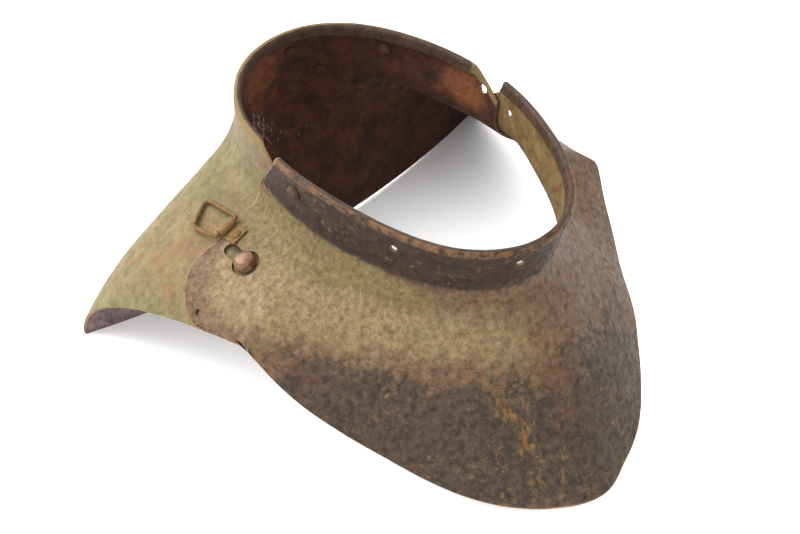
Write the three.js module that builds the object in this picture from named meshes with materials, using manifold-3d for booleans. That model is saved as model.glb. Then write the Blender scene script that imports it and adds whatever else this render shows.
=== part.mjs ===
// Steel gorget: a front plate and a back plate of hammered sheet that lap at the
// shoulders and stand up into a short collar with a folded rim.
// Units are millimetres. +Z is up, the wearer faces -Y and the wearer's left is +X.
// The gorget lies on z = 0 on the point of the front plate and the two back corners.
import * as THREE from 'three';
import { mergeVertices } from 'three/addons/utils/BufferGeometryUtils.js';
import Module from 'manifold-3d';

const wasm = await Module();
wasm.setup();

// Sheet and fits
const sheet = 1.3; // thickness of both plates
const lapGap = 0.5; // air between the plates where they lap
const fitGap = 0.3; // clearance of every pin in its hole and every head on its seat

// Collar
const neckHalfWidth = 56.5; // middle of the neck to the collar at either shoulder
const neckFront = 95; // middle of the neck to the collar in front
const neckBack = 88; // middle of the neck to the collar behind
const frontPinch = 0.04; // share by which the oval is flatter than an ellipse in front
const backPinch = { right: -0.04, left: 0.02 }; // and behind, where its right side is fuller
const collarTop = 111; // height of the rim
const collarLift = 6; // the wearer's right side of the rim stands this much higher
const collarDip = 1.8; // and its left side this much lower
const bendHeight = 83; // height of the bend between collar and flare
const frontLean = 11; // the collar leans out by this much in front
const sideLean = { right: 3, left: 4.5 }; // and at the sides
const backLean = -10;
const bendUp = 9; // length of collar that is rounded into the bend
const bendOut = 12; // length of flare that is rounded into the bend
const hemHeight = 4.5; // folded rim
const hemFold = 2.2; // what the fold adds to the sheet on the inside

// Flare
const frontReach = 137.5; // middle of the neck to the point of the front plate
const shoulderHeight = 62; // height of the front plate's edge at the shoulder
const flareBelly = 2; // how far the flare bulges in front
const cornerBelly = 6; // and behind the shoulders
const bellyShape = 5.4; // makes the bulge's highest point as high as its belly
const fanStart = 90; // the sheet's straight lines start to swing back at this direction
const cornerFan = 155; // and the one to a back corner starts from here on the bend
const rearEdge = 75; // middle of the neck to the rear edge
const rearBow = 19; // the corners lie this much further back than the middle
const rearSkew = 12; // the wearer's left corner lies further back, the right one less far
const cornerHalfWidth = 122; // middle to either back corner
const sideBulge = { out: 125, back: 70, rightUp: 46, leftUp: 8 }; // pulls its side edges outwards
const rearArch = 2; // the rear edge stands this much off the floor in its middle
const floorTrim = 0.5; // the corners ran this far past the floor and are worn flat

// Laps, measured along Y from the middle of the neck
const frontRimEnd = { right: 6, left: -2 }; // the front plate's collar ends here at the rim
const seamCurve = { right: 1, left: 2 }; // 1 for a straight end of the collar, 2 for a hollow one
const tabEnd = 25; // its shoulder tab ends here
const tabReach = { right: 105, left: 104 }; // middle of the neck to the tab's outer edge
const tabTurn = 0.6; // share of the tab's depth where its corner starts to round
const tabCorner = { right: 4, left: 17 }; // the rounded corner meets the outer edge here
const lapCorner = -4; // as the back plate's own corner does under the tab
const backRimEnd = { right: 4, left: 0 }; // the back plate's collar ends here
const backLapEnd = -17; // its shoulders end here, under the front plate
const rimCutStart = { right: 20, left: 16 }; // the back plate's rim is cut down from here
const rimCutDepth = 12; // and is this much lower at its end

const rad = THREE.MathUtils.degToRad;
const lerp = THREE.MathUtils.lerp;
const clamp = THREE.MathUtils.clamp;

// Outer edge of the front plate, a row for each direction from the middle of the front.
// Reach is a share of frontReach and height a share of shoulderHeight.
const frontEdge = [
  { at: 0, rightReach: 1.0, leftReach: 1.0, rightHeight: -0.02, leftHeight: -0.02 },
  { at: 8, rightReach: 0.975, leftReach: 0.955, rightHeight: 0.01, leftHeight: 0.01 },
  { at: 16, rightReach: 0.925, leftReach: 0.908, rightHeight: 0.05, leftHeight: 0.04 },
  { at: 24, rightReach: 0.865, leftReach: 0.853, rightHeight: 0.11, leftHeight: 0.11 },
  { at: 32, rightReach: 0.815, leftReach: 0.8, rightHeight: 0.21, leftHeight: 0.22 },
  { at: 40, rightReach: 0.78, leftReach: 0.757, rightHeight: 0.33, leftHeight: 0.34 },
  { at: 50, rightReach: 0.76, leftReach: 0.706, rightHeight: 0.48, leftHeight: 0.48 },
  { at: 60, rightReach: 0.752, leftReach: 0.682, rightHeight: 0.64, leftHeight: 0.66 },
  { at: 68, rightReach: 0.742, leftReach: 0.676, rightHeight: 0.77, leftHeight: 0.82 },
  { at: 76, rightReach: 0.73, leftReach: 0.69, rightHeight: 0.9, leftHeight: 0.95 },
];
const lastRow = frontEdge[frontEdge.length - 1];

// Radius of an oval with half axes across and along, in a direction from its middle
function oval(across, along, angle) {
  const behind = Math.sin(angle) > 0 ? backPinch.left : backPinch.right;
  const pinch = Math.cos(angle) > 0 ? frontPinch : behind;
  const s = Math.sin(angle);
  const c = Math.cos(angle);
  const ellipse = (across * along) / Math.hypot(along * s, across * c);
  return ellipse * (1 - pinch * Math.sin(2 * angle) ** 2);
}

// Angles run from the front round the wearer's left (positive) and right (negative).
const inFront = (angle) => Math.cos(angle) > 0;

function rimPoint(angle) {
  const along = inFront(angle) ? neckFront : neckBack;
  const side = Math.sin(angle);
  const lift = collarLift * (1 - side) - collarDip * (1 + side);
  return { r: oval(neckHalfWidth, along, angle), z: collarTop + 0.5 * lift * side ** 2 };
}

function bendPoint(angle) {
  const along = inFront(angle) ? neckFront - frontLean : neckBack - backLean;
  const lean = Math.sin(angle) > 0 ? sideLean.left : sideLean.right;
  return { r: oval(neckHalfWidth - lean, along, angle), z: bendHeight };
}

// Value of a column of the edge table, with an eased curve between its rows
function edgeValue(column, degrees) {
  const rows = frontEdge;
  let k = 0;
  while (k < rows.length - 2 && rows[k + 1].at < degrees) k += 1;
  const span = rows[k + 1].at - rows[k].at;
  const t = clamp((degrees - rows[k].at) / span, 0, 1);
  const before = rows[Math.max(k - 1, 0)];
  const after = rows[Math.min(k + 2, rows.length - 1)];
  const a = rows[k][column];
  const b = rows[k + 1][column];
  const slopeA = k > 0 ? ((b - before[column]) / (rows[k + 1].at - before.at)) * span : 0;
  const slopeB = ((after[column] - a) / (after.at - rows[k].at)) * span;
  const h = t * t * (3 - 2 * t);
  return a + (b - a) * h + slopeA * t * (1 - t) ** 2 - slopeB * t * t * (1 - t);
}

function backCorner(side) {
  return new THREE.Vector3(side * cornerHalfWidth, rearEdge + rearBow + side * rearSkew, -floorTrim);
}

// Edge of the back plate from a corner (0) to where the front plate's edge takes over (1)
function sideEdge(side) {
  const left = side > 0;
  const reach = frontReach * (left ? lastRow.leftReach : lastRow.rightReach);
  const height = shoulderHeight * (left ? lastRow.leftHeight : lastRow.rightHeight);
  const end = rad(lastRow.at);
  const shoulder = new THREE.Vector3(side * reach * Math.sin(end), -reach * Math.cos(end), height);
  const up = left ? sideBulge.leftUp : sideBulge.rightUp;
  const pull = new THREE.Vector3(side * sideBulge.out, sideBulge.back, up);
  return new THREE.QuadraticBezierCurve3(backCorner(side), pull, shoulder);
}
const sideEdges = { right: sideEdge(-1), left: sideEdge(1) };

const azimuth = (p) => Math.atan2(p.x, -p.y);

// Number between low and high where a rising function reaches zero
const solveSteps = 32;
function solve(rising, low, high) {
  let a = low;
  let b = high;
  for (let n = 0; n < solveSteps; n += 1) {
    const mid = 0.5 * (a + b);
    if (rising(mid) < 0) a = mid;
    else b = mid;
  }
  return 0.5 * (a + b);
}

const rearLine = (x) => {
  const share = x / cornerHalfWidth;
  return rearEdge + rearBow * share * share + rearSkew * share;
};

// Where the sheet would end in a direction: front edge, side edge or rear edge
function outerPoint(angle) {
  const size = Math.abs(angle);
  const left = angle > 0;
  const curve = left ? sideEdges.left : sideEdges.right;
  const side = left ? 1 : -1;
  if (size <= rad(lastRow.at)) {
    const degrees = THREE.MathUtils.radToDeg(size);
    return {
      r: frontReach * edgeValue(left ? 'leftReach' : 'rightReach', degrees),
      z: shoulderHeight * edgeValue(left ? 'leftHeight' : 'rightHeight', degrees),
    };
  }
  if (size <= Math.abs(azimuth(backCorner(side)))) {
    const t = solve((s) => size - Math.abs(azimuth(curve.getPoint(s))), 0, 1);
    const p = curve.getPoint(t);
    return { r: Math.hypot(p.x, p.y), z: p.z };
  }
  const far = 2 * cornerHalfWidth;
  const reach = solve((r) => -r * Math.cos(angle) - rearLine(r * Math.sin(angle)), 1, far);
  const share = (reach * Math.sin(angle)) / cornerHalfWidth;
  return { r: reach, z: rearArch * (1 - share * share) - floorTrim };
}

// The sheet is ruled from the bend to its outer edge. The lines run straight out from the
// neck in front and at the shoulders, and towards the corners behind them.
function bendAngle(angle) {
  const side = angle > 0 ? 1 : -1;
  const corner = Math.abs(azimuth(backCorner(side)));
  const size = Math.abs(angle);
  if (size <= rad(fanStart)) return angle;
  const spread = rad(cornerFan) - corner;
  if (size <= corner) {
    const t = (size - rad(fanStart)) / (corner - rad(fanStart));
    return side * (size + spread * t * t);
  }
  const t = (size - corner) / (Math.PI - corner);
  return side * lerp(rad(cornerFan), Math.PI, t);
}

// How far the flare bulges in a direction
function bellyAt(angle) {
  const degrees = THREE.MathUtils.radToDeg(Math.abs(angle));
  return lerp(flareBelly, cornerBelly, THREE.MathUtils.smoothstep(degrees, 75, 120));
}

const fromPolar = (angle, r, z) => new THREE.Vector3(r * Math.sin(angle), -r * Math.cos(angle), z);

// The line in which the sheet is ruled in a direction: the rim, the bend with the ends of
// its rounding, and the outer edge
function ruledLine(angle) {
  const inner = bendAngle(angle);
  const rimAt = rimPoint(inner);
  const bendAt = bendPoint(inner);
  const outerAt = outerPoint(angle);
  const rim = fromPolar(inner, rimAt.r, rimAt.z);
  const bend = fromPolar(inner, bendAt.r, bendAt.z);
  const outer = fromPolar(angle, outerAt.r, outerAt.z);
  const top = bend.clone().lerp(rim, bendUp / bend.distanceTo(rim));
  const foot = bend.clone().lerp(outer, bendOut / bend.distanceTo(outer));
  const run = outer.clone().sub(foot);
  const level = Math.hypot(run.x, run.y);
  const proud = new THREE.Vector3((-run.x * run.z) / level, (-run.y * run.z) / level, level);
  proud.multiplyScalar(bellyAt(angle) / run.length());
  return { rim, top, foot, run, proud, curve: new THREE.QuadraticBezierCurve3(top, bend, foot) };
}
const lines = new Map();
function lineAt(angle) {
  if (!lines.has(angle)) lines.set(angle, ruledLine(angle));
  return lines.get(angle);
}

// Middle of the sheet. The row number runs from 0 at the rim to 1 where the bend starts,
// 2 where it ends and 3 at the outer edge.
function formPoint(angle, row) {
  const { rim, top, foot, run, proud, curve } = lineAt(angle);
  if (row <= 1) return rim.clone().lerp(top, row);
  if (row <= 2) return curve.getPoint(row - 1);
  const t = row - 2;
  const bulge = bellyShape * t ** 1.5 * (1 - t);
  return foot.clone().addScaledVector(run, t).addScaledVector(proud, bulge);
}

// Outward direction of the sheet
function formNormal(angle, row) {
  const d = 0.002;
  const low = Math.min(row, 3 - d);
  const across = formPoint(angle + d, row).sub(formPoint(angle - d, row));
  const down = formPoint(angle, low + d).sub(formPoint(angle, Math.max(low - d, 0)));
  return across.cross(down).negate().normalize();
}

// Angle on one side of the neck where a row reaches a distance behind the middle
function angleAtY(side, row, y) {
  return side * solve((a) => formPoint(side * a, row).y - y, rad(45), rad(150));
}

// A place on the sheet, by its plan position on the flare or by its height on the collar
function placeAt(angle, row) {
  return { point: formPoint(angle, row), normal: formNormal(angle, row) };
}
function placeWhere(wanted, rowAt) {
  const side = wanted > 0 ? 1 : -1;
  const size = Math.abs(wanted);
  const angle = side * solve((a) => {
    const p = formPoint(side * a, rowAt(side * a));
    return Math.abs(azimuth(p)) - size;
  }, 0.01, Math.PI - 0.01);
  return placeAt(angle, rowAt(angle));
}
function onFlare(x, y) {
  const reach = Math.hypot(x, y);
  return placeWhere(Math.atan2(x, -y), (angle) => solve((row) => {
    const p = formPoint(angle, row);
    return Math.hypot(p.x, p.y) - reach;
  }, 1.2, 3));
}
function onCollar(degrees, height) {
  const down = (angle) => solve((row) => height - formPoint(angle, row).z, 0, 2);
  return placeWhere(rad(degrees), down);
}

// The front plate lies outside the back plate
const frontLift = sheet + lapGap;
const layers = {
  backIn: -sheet / 2,
  backOut: sheet / 2,
  frontIn: frontLift - sheet / 2,
  frontOut: frontLift + sheet / 2,
};

// Turns a closed mesh into a solid whose faces point out
function solidOf(geometry) {
  const bare = geometry.index ? geometry.toNonIndexed() : geometry.clone();
  Object.keys(bare.attributes).forEach((key) => {
    if (key !== 'position') bare.deleteAttribute(key);
  });
  const merged = mergeVertices(bare, 1e-4);
  const triangles = new Uint32Array(merged.index.array);
  const points = merged.attributes.position;
  const corner = (n) => new THREE.Vector3().fromBufferAttribute(points, triangles[n]);
  let volume = 0;
  for (let n = 0; n < triangles.length; n += 3) {
    volume += corner(n).dot(corner(n + 1).cross(corner(n + 2)));
  }
  if (volume < 0) {
    for (let n = 0; n < triangles.length; n += 3) {
      [triangles[n], triangles[n + 1]] = [triangles[n + 1], triangles[n]];
    }
  }
  const mesh = new wasm.Mesh({
    numProp: 3,
    vertProperties: new Float32Array(points.array),
    triVerts: triangles,
  });
  return new wasm.Manifold(mesh);
}

function geometryOf(solid) {
  const mesh = solid.getMesh();
  const geometry = new THREE.BufferGeometry();
  geometry.setAttribute('position', new THREE.BufferAttribute(new Float32Array(mesh.vertProperties), 3));
  geometry.setIndex(new THREE.BufferAttribute(new Uint32Array(mesh.triVerts), 1));
  geometry.computeVertexNormals();
  return geometry;
}

// Closed skin through columns of rings that all have the same number of points.
// A ring starts at the rim, runs down the outside and comes back up the inside.
function skin(rings) {
  const count = rings[0].length;
  const points = [];
  rings.forEach((ring) => ring.forEach((p) => points.push(p.x, p.y, p.z)));
  const faces = [];
  const quad = (a, b, c, d) => faces.push(a, b, c, a, c, d);
  for (let i = 0; i < rings.length - 1; i += 1) {
    for (let k = 0; k < count; k += 1) {
      const next = (k + 1) % count;
      quad(i * count + k, i * count + next, (i + 1) * count + next, (i + 1) * count + k);
    }
  }
  [0, rings.length - 1].forEach((end) => {
    const base = end * count;
    const flip = end > 0;
    for (let k = 0; k < Math.floor((count - 1) / 2); k += 1) {
      const a = base + k;
      const b = base + k + 1;
      const c = base + count - 1 - k;
      const d = base + ((count - k) % count);
      const corners = flip ? [a, b, c, d] : [d, c, b, a];
      if (k === 0) faces.push(...(flip ? [a, b, c] : [c, b, a]));
      else quad(...corners);
    }
  });
  const geometry = new THREE.BufferGeometry();
  geometry.setAttribute('position', new THREE.Float32BufferAttribute(points, 3));
  geometry.setIndex(faces);
  return geometry;
}

// Rows of a plate: collar rows by their row number, flare rows as shares of the flare
const collarRows = 1 / (collarTop - bendHeight - bendUp); // row number per millimetre of collar
const hemRow = hemHeight * collarRows;
const rimRows = [0, hemRow, hemRow + 0.04, 0.6, 1, 1.25, 1.5, 1.75];
const flareShares = [0, 0.2, 0.4, 0.6, 0.74, 0.86, 0.95, 1];

// Distance behind the middle at which a plate's side ends, for a flare share
function roundedEnd(share, straight, corner) {
  if (share <= tabTurn) return straight;
  const t = (share - tabTurn) / (1 - tabTurn);
  return corner + (straight - corner) * Math.sqrt(1 - t * t);
}

// The ring of one column: where it lies on each row, how far the layers lie from the
// middle of the sheet and how thick the folded rim is there
function columnRing(spots, inner, outer, hem) {
  const outside = [];
  const inside = [];
  spots.forEach((spot, k) => {
    const { point, normal } = placeAt(spot.angle, spot.row);
    const fold = k < 2 ? hem : 0;
    outside.push(point.clone().addScaledVector(normal, outer));
    inside.push(point.clone().addScaledVector(normal, inner - fold));
  });
  const crest = outside[0].clone().lerp(inside[0], 0.5);
  crest.z += (outer - inner + hem) * 0.3;
  return [crest, ...outside, ...inside.reverse()];
}

function frontSpots(share) {
  const right = share < 0;
  const name = right ? 'right' : 'left';
  const side = right ? -1 : 1;
  const size = Math.abs(share);
  const spots = rimRows.map((row) => {
    const end = lerp(frontRimEnd[name], tabEnd, Math.min(row, 1) ** seamCurve[name]);
    return { angle: size * angleAtY(side, row, end), row };
  });
  flareShares.forEach((flare) => {
    const rowAt = (angle) => 2 + flare * (frontEdgeRow(angle) - 2);
    const end = roundedEnd(flare, tabEnd, tabCorner[name]);
    const last = solve((a) => formPoint(side * a, rowAt(side * a)).y - end, rad(45), rad(150));
    spots.push({ angle: side * size * last, row: rowAt(side * size * last) });
  });
  return spots;
}

// Row number of the front plate's outer edge
function frontEdgeRow(angle) {
  if (Math.abs(angle) <= rad(lastRow.at)) return 3;
  const outer = outerPoint(angle);
  const reach = angle > 0 ? tabReach.left : tabReach.right;
  if (outer.r <= reach) return 3;
  return solve((row) => {
    const p = formPoint(angle, row);
    return Math.hypot(p.x, p.y) - reach;
  }, 2, 3);
}

const frontColumns = 56;
function frontPlate() {
  const rings = [];
  for (let i = 0; i <= frontColumns; i += 1) {
    const share = (2 * i) / frontColumns - 1;
    rings.push(columnRing(frontSpots(share), layers.frontIn, layers.frontOut, hemFold));
  }
  return solidOf(skin(rings));
}

// Directions of the back plate's columns: along the right side edge to the corner,
// across the rear edge and along the left side edge
const sideColumns = 12;
const rearColumns = 22;
function backAngles() {
  const angles = [];
  const full = 2 * Math.PI;
  for (let i = 0; i < sideColumns; i += 1) {
    angles.push(azimuth(sideEdges.right.getPoint(1 - i / sideColumns)));
  }
  for (let i = 0; i <= rearColumns; i += 1) {
    const x = lerp(-cornerHalfWidth, cornerHalfWidth, i / rearColumns);
    const angle = Math.atan2(x, -rearLine(x));
    angles.push(angle > 0 ? angle - full : angle);
  }
  for (let i = 1; i <= sideColumns; i += 1) {
    angles.push(azimuth(sideEdges.left.getPoint(i / sideColumns)) - full);
  }
  return angles;
}

function backSpots(index, angles) {
  const full = 2 * Math.PI;
  const right = index < sideColumns;
  const left = index > sideColumns + rearColumns;
  const side = left ? 1 : -1;
  const name = left ? 'left' : 'right';
  const plain = angles[index] < -Math.PI ? angles[index] + full : angles[index];
  const corner = azimuth(backCorner(side));
  const last = azimuth((left ? sideEdges.left : sideEdges.right).getPoint(1));
  const shift = (end) => {
    if (!right && !left) return plain;
    return corner + ((plain - corner) * (end - corner)) / (last - corner);
  };
  const spots = rimRows.map((row) => {
    const angle = shift(angleAtY(side, row, backRimEnd[name]));
    const y = formPoint(angle, row).y;
    const run = clamp((rimCutStart[name] - y) / (rimCutStart[name] - backRimEnd[name]), 0, 1);
    const cut = rimCutDepth * collarRows * run;
    return { angle, row: row < 1 ? row + (1 - row) * cut : row };
  });
  flareShares.forEach((flare) => {
    const straight = lerp(backRimEnd[name], backLapEnd, Math.min(flare / 0.4, 1));
    const end = roundedEnd(flare, straight, lapCorner);
    spots.push({ angle: shift(angleAtY(side, 2 + flare, end)), row: 2 + flare });
  });
  return spots;
}

function backPlate() {
  const angles = backAngles();
  const rings = angles.map((angle, index) => {
    const spots = backSpots(index, angles);
    const y = formPoint(spots[0].angle, 0).y;
    const start = Math.sin(angle) > 0 ? rimCutStart.left : rimCutStart.right;
    const hem = hemFold * clamp((y - start) / 3, 0.02, 1);
    return columnRing(spots, layers.backIn, layers.backOut, hem);
  });
  return solidOf(skin(rings));
}

// A frame on the sheet: Z stands off it, X runs down the slope and Y round the neck
function frameAt(place, towards) {
  const up = place.normal;
  const along = towards.clone().addScaledVector(up, -towards.dot(up)).normalize();
  const across = up.clone().cross(along);
  return new THREE.Matrix4().makeBasis(along, across, up).setPosition(place.point);
}
const downSlope = (place) => new THREE.Vector3(0, 0, -1).addScaledVector(place.normal, place.normal.z);
const placed = (geometry, frame) => solidOf(geometry.applyMatrix4(frame));

// Turned solid about Z from pairs of radius and height, bottom first
function turned(profile, sides) {
  const points = profile.map(([radius, height]) => new THREE.Vector2(radius, height));
  return new THREE.LatheGeometry(points, sides).rotateX(Math.PI / 2);
}
function bore(radius, low, high, sides = 12) {
  const tall = new THREE.CylinderGeometry(radius, radius, high - low, sides).rotateX(Math.PI / 2);
  return tall.translate(0, 0, (low + high) / 2);
}

// A rivet or stud: peened end under the sheet, shank, and a head of two facets and a flat.
// All heights are measured from the middle of the sheet it sits in.
const seatSag = 0.15; // extra air under a peened end, because the sheet curves towards it
const rivetSides = 12;
const rivetFoot = 1; // height of a peened end
function rivet({ shank, head, rise, end, low, high }) {
  const under = low - fitGap - seatSag;
  const over = high + fitGap;
  return turned([
    [0, under - rivetFoot],
    [end * 0.7, under - rivetFoot],
    [end, under - rivetFoot * 0.4],
    [end, under],
    [shank, under],
    [shank, over],
    [head, over],
    [head, over + rise * 0.25],
    [head * 0.72, over + rise * 0.8],
    [head * 0.3, over + rise],
    [0, over + rise],
  ], rivetSides);
}

// Closing stud and pivot rivet, through both plates at the shoulders
const through = { low: layers.backIn, high: layers.frontOut };
const stud = { shank: 2.4, head: 5.8, rise: 5, end: 4.2, ...through };
const pinOut = 77.5; // middle of the neck to either pin, outwards
const pinBack = 3.8; // and backwards
const studPlace = onFlare(-pinOut, pinBack);
const pivot = { shank: 2.4, head: 4.6, rise: 2.4, end: 4.2, ...through };
const pivotPlace = onFlare(pinOut, pinBack);

// Keyhole in the front plate: the stud's head passes its round end, and its shank slides
// along the slot behind it
const keyAir = 0.5; // round the head
const slotRun = 11.6; // middle of the round end to the middle of the slot's end, straight back
const slotHalf = 3.1; // half the slot's width
const holeDepth = 4; // holes are cut this far to either side of the sheet
function keyhole() {
  const frame = frameAt(studPlace, new THREE.Vector3(0, 1, 0));
  const high = layers.frontOut + holeDepth;
  const low = -holeDepth;
  const slot = new THREE.BoxGeometry(slotRun, 2 * slotHalf, high - low);
  slot.translate(slotRun / 2, 0, (high + low) / 2);
  const round = bore(stud.head + keyAir, low, high, 24);
  const end = bore(slotHalf, low, high, 16).translate(slotRun, 0, 0);
  return placed(slot, frame).add(placed(round, frame)).add(placed(end, frame));
}

// Rivets in the collar: the direction of each, and its drop below the rim as a share of the
// collar's height
const collarHeight = collarTop - bendHeight;
const collarRivet = { shank: 1.4, head: 3.4, rise: 1.8, end: 2.9 };
const frontRivets = [
  { name: 'front_rivet', at: -83.5, drop: 0.09 },
];
const backRivets = [
  { name: 'back_rivet_left', at: 148, drop: 0.375 },
  { name: 'back_rivet_middle', at: 176.5, drop: 0.482 },
  { name: 'back_rivet_low', at: 167.5, drop: 1.018 },
];

// Open holes in the collar, placed the same way, and in the shoulder tab
const frontHoles = [
  { at: -37, drop: 0.232, radius: 1.5 },
  { at: -31.4, drop: 0.482, radius: 0.6 },
  { at: -4.8, drop: 0.286, radius: 1.5 },
  { at: 82.5, drop: 0.518, radius: 1.4 },
];
const backHoles = [
  { at: 100, drop: 0.368, radius: 2.2 },
];
const tabHole = { margin: 3.6, back: 5.5, radius: 1.4 }; // margin from the tab's outer edge

const holeFrame = (place) => frameAt(place, downSlope(place));
function holeAt(place, radius) {
  return placed(bore(radius, -holeDepth, layers.frontOut + holeDepth), holeFrame(place));
}
const inCollar = ({ at, drop }) => onCollar(at, collarTop - drop * collarHeight);
const collarHole = (hole) => holeAt(inCollar(hole), hole.radius);
const rivetHole = (spot) => holeAt(inCollar(spot), collarRivet.shank + fitGap);
const tabOpening = () => holeAt(onFlare(tabHole.margin - tabReach.right, tabHole.back), tabHole.radius);

// Buckle: a bent wire loop that turns in a folded strip riveted to the shoulder tab
const wire = 1.1; // radius
const wireSides = 8;
const tunnel = wire + fitGap;
const curl = 2; // outer radius of the fold round the bar
const leaf = 0.8; // thickness of the folded strip
const hangerWidth = 8.6;
const hangerRun = 8.6; // bar to the strip's free end
const hangerOut = 71.9; // middle of the neck to the middle of the strip, outwards
const hangerBack = 20.2; // and backwards
const hangerPlace = onFlare(-hangerOut, hangerBack);
const hangerTurn = new THREE.Vector3(11.9, 1.3, 4.6); // the bar runs up the slope like this
const hangerFrame = frameAt(hangerPlace, hangerTurn);
const hangerFoot = layers.frontOut + fitGap;
const bar = { across: hangerRun / 2, up: hangerFoot + curl };

// Profile of the hanger, seen along the bar: the leaf and the fold in one outline
function hanger() {
  const outline = new THREE.Shape();
  const lift = Math.asin((curl - leaf) / curl);
  outline.moveTo(bar.across, hangerFoot);
  outline.absarc(bar.across, bar.up, curl, -Math.PI / 2, Math.PI + lift, false);
  outline.lineTo(bar.across - hangerRun, hangerFoot + leaf);
  outline.lineTo(bar.across - hangerRun, hangerFoot);
  outline.closePath();
  const hole = new THREE.Path();
  hole.absarc(bar.across, bar.up, tunnel, 0, 2 * Math.PI, true);
  outline.holes.push(hole);
  const strip = new THREE.ExtrudeGeometry(outline, {
    depth: hangerWidth,
    bevelEnabled: false,
    curveSegments: 10,
  });
  strip.translate(0, 0, -hangerWidth / 2);
  const basis = new THREE.Matrix4().makeBasis(
    new THREE.Vector3(0, 1, 0),
    new THREE.Vector3(0, 0, 1),
    new THREE.Vector3(1, 0, 0),
  );
  return placed(strip.applyMatrix4(basis), hangerFrame).subtract(hangerBore(hangerRivet.shank));
}

// Its rivet ends flush in a countersink in the front plate
const hangerRivet = { shank: 1.2, head: 2.3, rise: 0.8, sink: 2.1 };
const hangerRivetAt = bar.across - hangerRun + 3;
function hangerBore(radius) {
  const hole = bore(radius + fitGap, layers.backOut, layers.frontOut + holeDepth);
  return placed(hole.translate(0, hangerRivetAt, 0), hangerFrame);
}
function hangerSink() {
  const cone = turned([
    [0, layers.backOut],
    [hangerRivet.sink + fitGap, layers.backOut],
    [hangerRivet.sink + fitGap, layers.frontIn + fitGap],
    [hangerRivet.shank + fitGap, layers.frontOut],
    [0, layers.frontOut],
  ], rivetSides);
  return placed(cone.translate(0, hangerRivetAt, 0), hangerFrame);
}
function hangerPin() {
  const { shank, head, rise, sink } = hangerRivet;
  const seat = hangerFoot + leaf + fitGap;
  const pin = turned([
    [0, layers.frontIn],
    [sink, layers.frontIn],
    [sink, layers.frontIn + fitGap],
    [shank, layers.frontOut],
    [shank, seat],
    [head, seat],
    [head, seat + rise * 0.3],
    [head * 0.6, seat + rise],
    [0, seat + rise],
  ], rivetSides);
  return placed(pin.translate(0, hangerRivetAt, 0), hangerFrame);
}

// Corners of the loop, bar first: along the bar and away from it, and how round they are
const loopHalf = 6.5; // half the width between the middles of the wires
const loopLong = 26.5; // bar to the far corner on the neck's side
const loopShort = 17.5; // and on the outer side
const loopCorners = [
  { along: -loopHalf, away: 0, round: 0.3 * loopHalf },
  { along: -1.2 * loopHalf, away: loopShort, round: 0.35 * loopHalf },
  { along: loopHalf, away: loopLong, round: 0.8 * loopHalf },
  { along: loopHalf, away: 0, round: 0.3 * loopHalf },
];

// The loop tilted about its bar, as a closed path
function loopPath(tilt) {
  const place = ({ along, away }) => new THREE.Vector3(
    along,
    bar.across + away * Math.cos(tilt),
    bar.up - away * Math.sin(tilt),
  ).applyMatrix4(hangerFrame);
  const spots = loopCorners.map(place);
  const path = new THREE.CurvePath();
  const count = spots.length;
  const cut = (from, to, round) => from.clone().addScaledVector(to.clone().sub(from).normalize(), round);
  spots.forEach((spot, n) => {
    const next = spots[(n + 1) % count];
    const before = spots[(n + count - 1) % count];
    const { round } = loopCorners[n];
    const start = cut(spot, before, round);
    const end = cut(spot, next, round);
    const nextRound = loopCorners[(n + 1) % count].round;
    path.add(new THREE.QuadraticBezierCurve3(start, spot, end));
    path.add(new THREE.LineCurve3(end, cut(next, spot, nextRound)));
  });
  return path;
}

// Height of a point above the back plate
function heightOver(point) {
  const place = onFlare(point.x, point.y);
  return point.clone().sub(place.point).dot(place.normal) - layers.backOut;
}

// The loop has dropped until its far end rests over the back plate
function restTilt() {
  const free = (tilt) => {
    const heights = loopPath(tilt).getSpacedPoints(18).map(heightOver);
    return Math.min(...heights) - wire - fitGap;
  };
  return solve((tilt) => -free(tilt), rad(-10), rad(40));
}
const loopSteps = 46;
function buckle() {
  const tube = new THREE.TubeGeometry(loopPath(restTilt()), loopSteps, wire, wireSides, true);
  return solidOf(tube);
}

// Everything below the floor is worn away
function floorCut() {
  const wide = 4 * cornerHalfWidth;
  const block = new THREE.BoxGeometry(wide, wide, wide).translate(0, 0, -wide / 2);
  return solidOf(block);
}

const gorget = new THREE.Group();
function steel(colour, roughness, metalness) {
  return new THREE.MeshStandardMaterial({ color: colour, roughness, metalness });
}
function add(name, solid, material) {
  const mesh = new THREE.Mesh(geometryOf(solid), material);
  mesh.name = name;
  gorget.add(mesh);
}
const cutFrom = (plate, tools) => tools.reduce((rest, tool) => rest.subtract(tool), plate);

add('front_plate', cutFrom(frontPlate(), [
  keyhole(),
  holeAt(pivotPlace, pivot.shank + fitGap),
  hangerBore(hangerRivet.shank),
  hangerSink(),
  tabOpening(),
  ...frontRivets.map(rivetHole),
  ...frontHoles.map(collarHole),
  floorCut(),
]), steel(0x5d4d38, 0.75, 0.5));
add('back_plate', cutFrom(backPlate(), [
  holeAt(studPlace, stud.shank + fitGap),
  holeAt(pivotPlace, pivot.shank + fitGap),
  tabOpening(),
  ...backRivets.map(rivetHole),
  ...backHoles.map(collarHole),
  floorCut(),
]), steel(0x938459, 0.85, 0.2));
add('closing_stud', placed(rivet(stud), holeFrame(studPlace)), steel(0x8a5a3c, 0.5, 0.7));
add('pivot_rivet', placed(rivet(pivot), holeFrame(pivotPlace)), steel(0x6a5140, 0.7, 0.5));
add('buckle_hanger', hanger(), steel(0x77684c, 0.8, 0.3));
add('hanger_rivet', hangerPin(), steel(0x6a5140, 0.7, 0.5));
add('buckle_frame', buckle(), steel(0x7d5a3a, 0.8, 0.4));
function addRivet(spot, layer) {
  const solid = placed(rivet({ ...collarRivet, ...layer }), holeFrame(inCollar(spot)));
  add(spot.name, solid, steel(0x5a4634, 0.8, 0.4));
}
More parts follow.
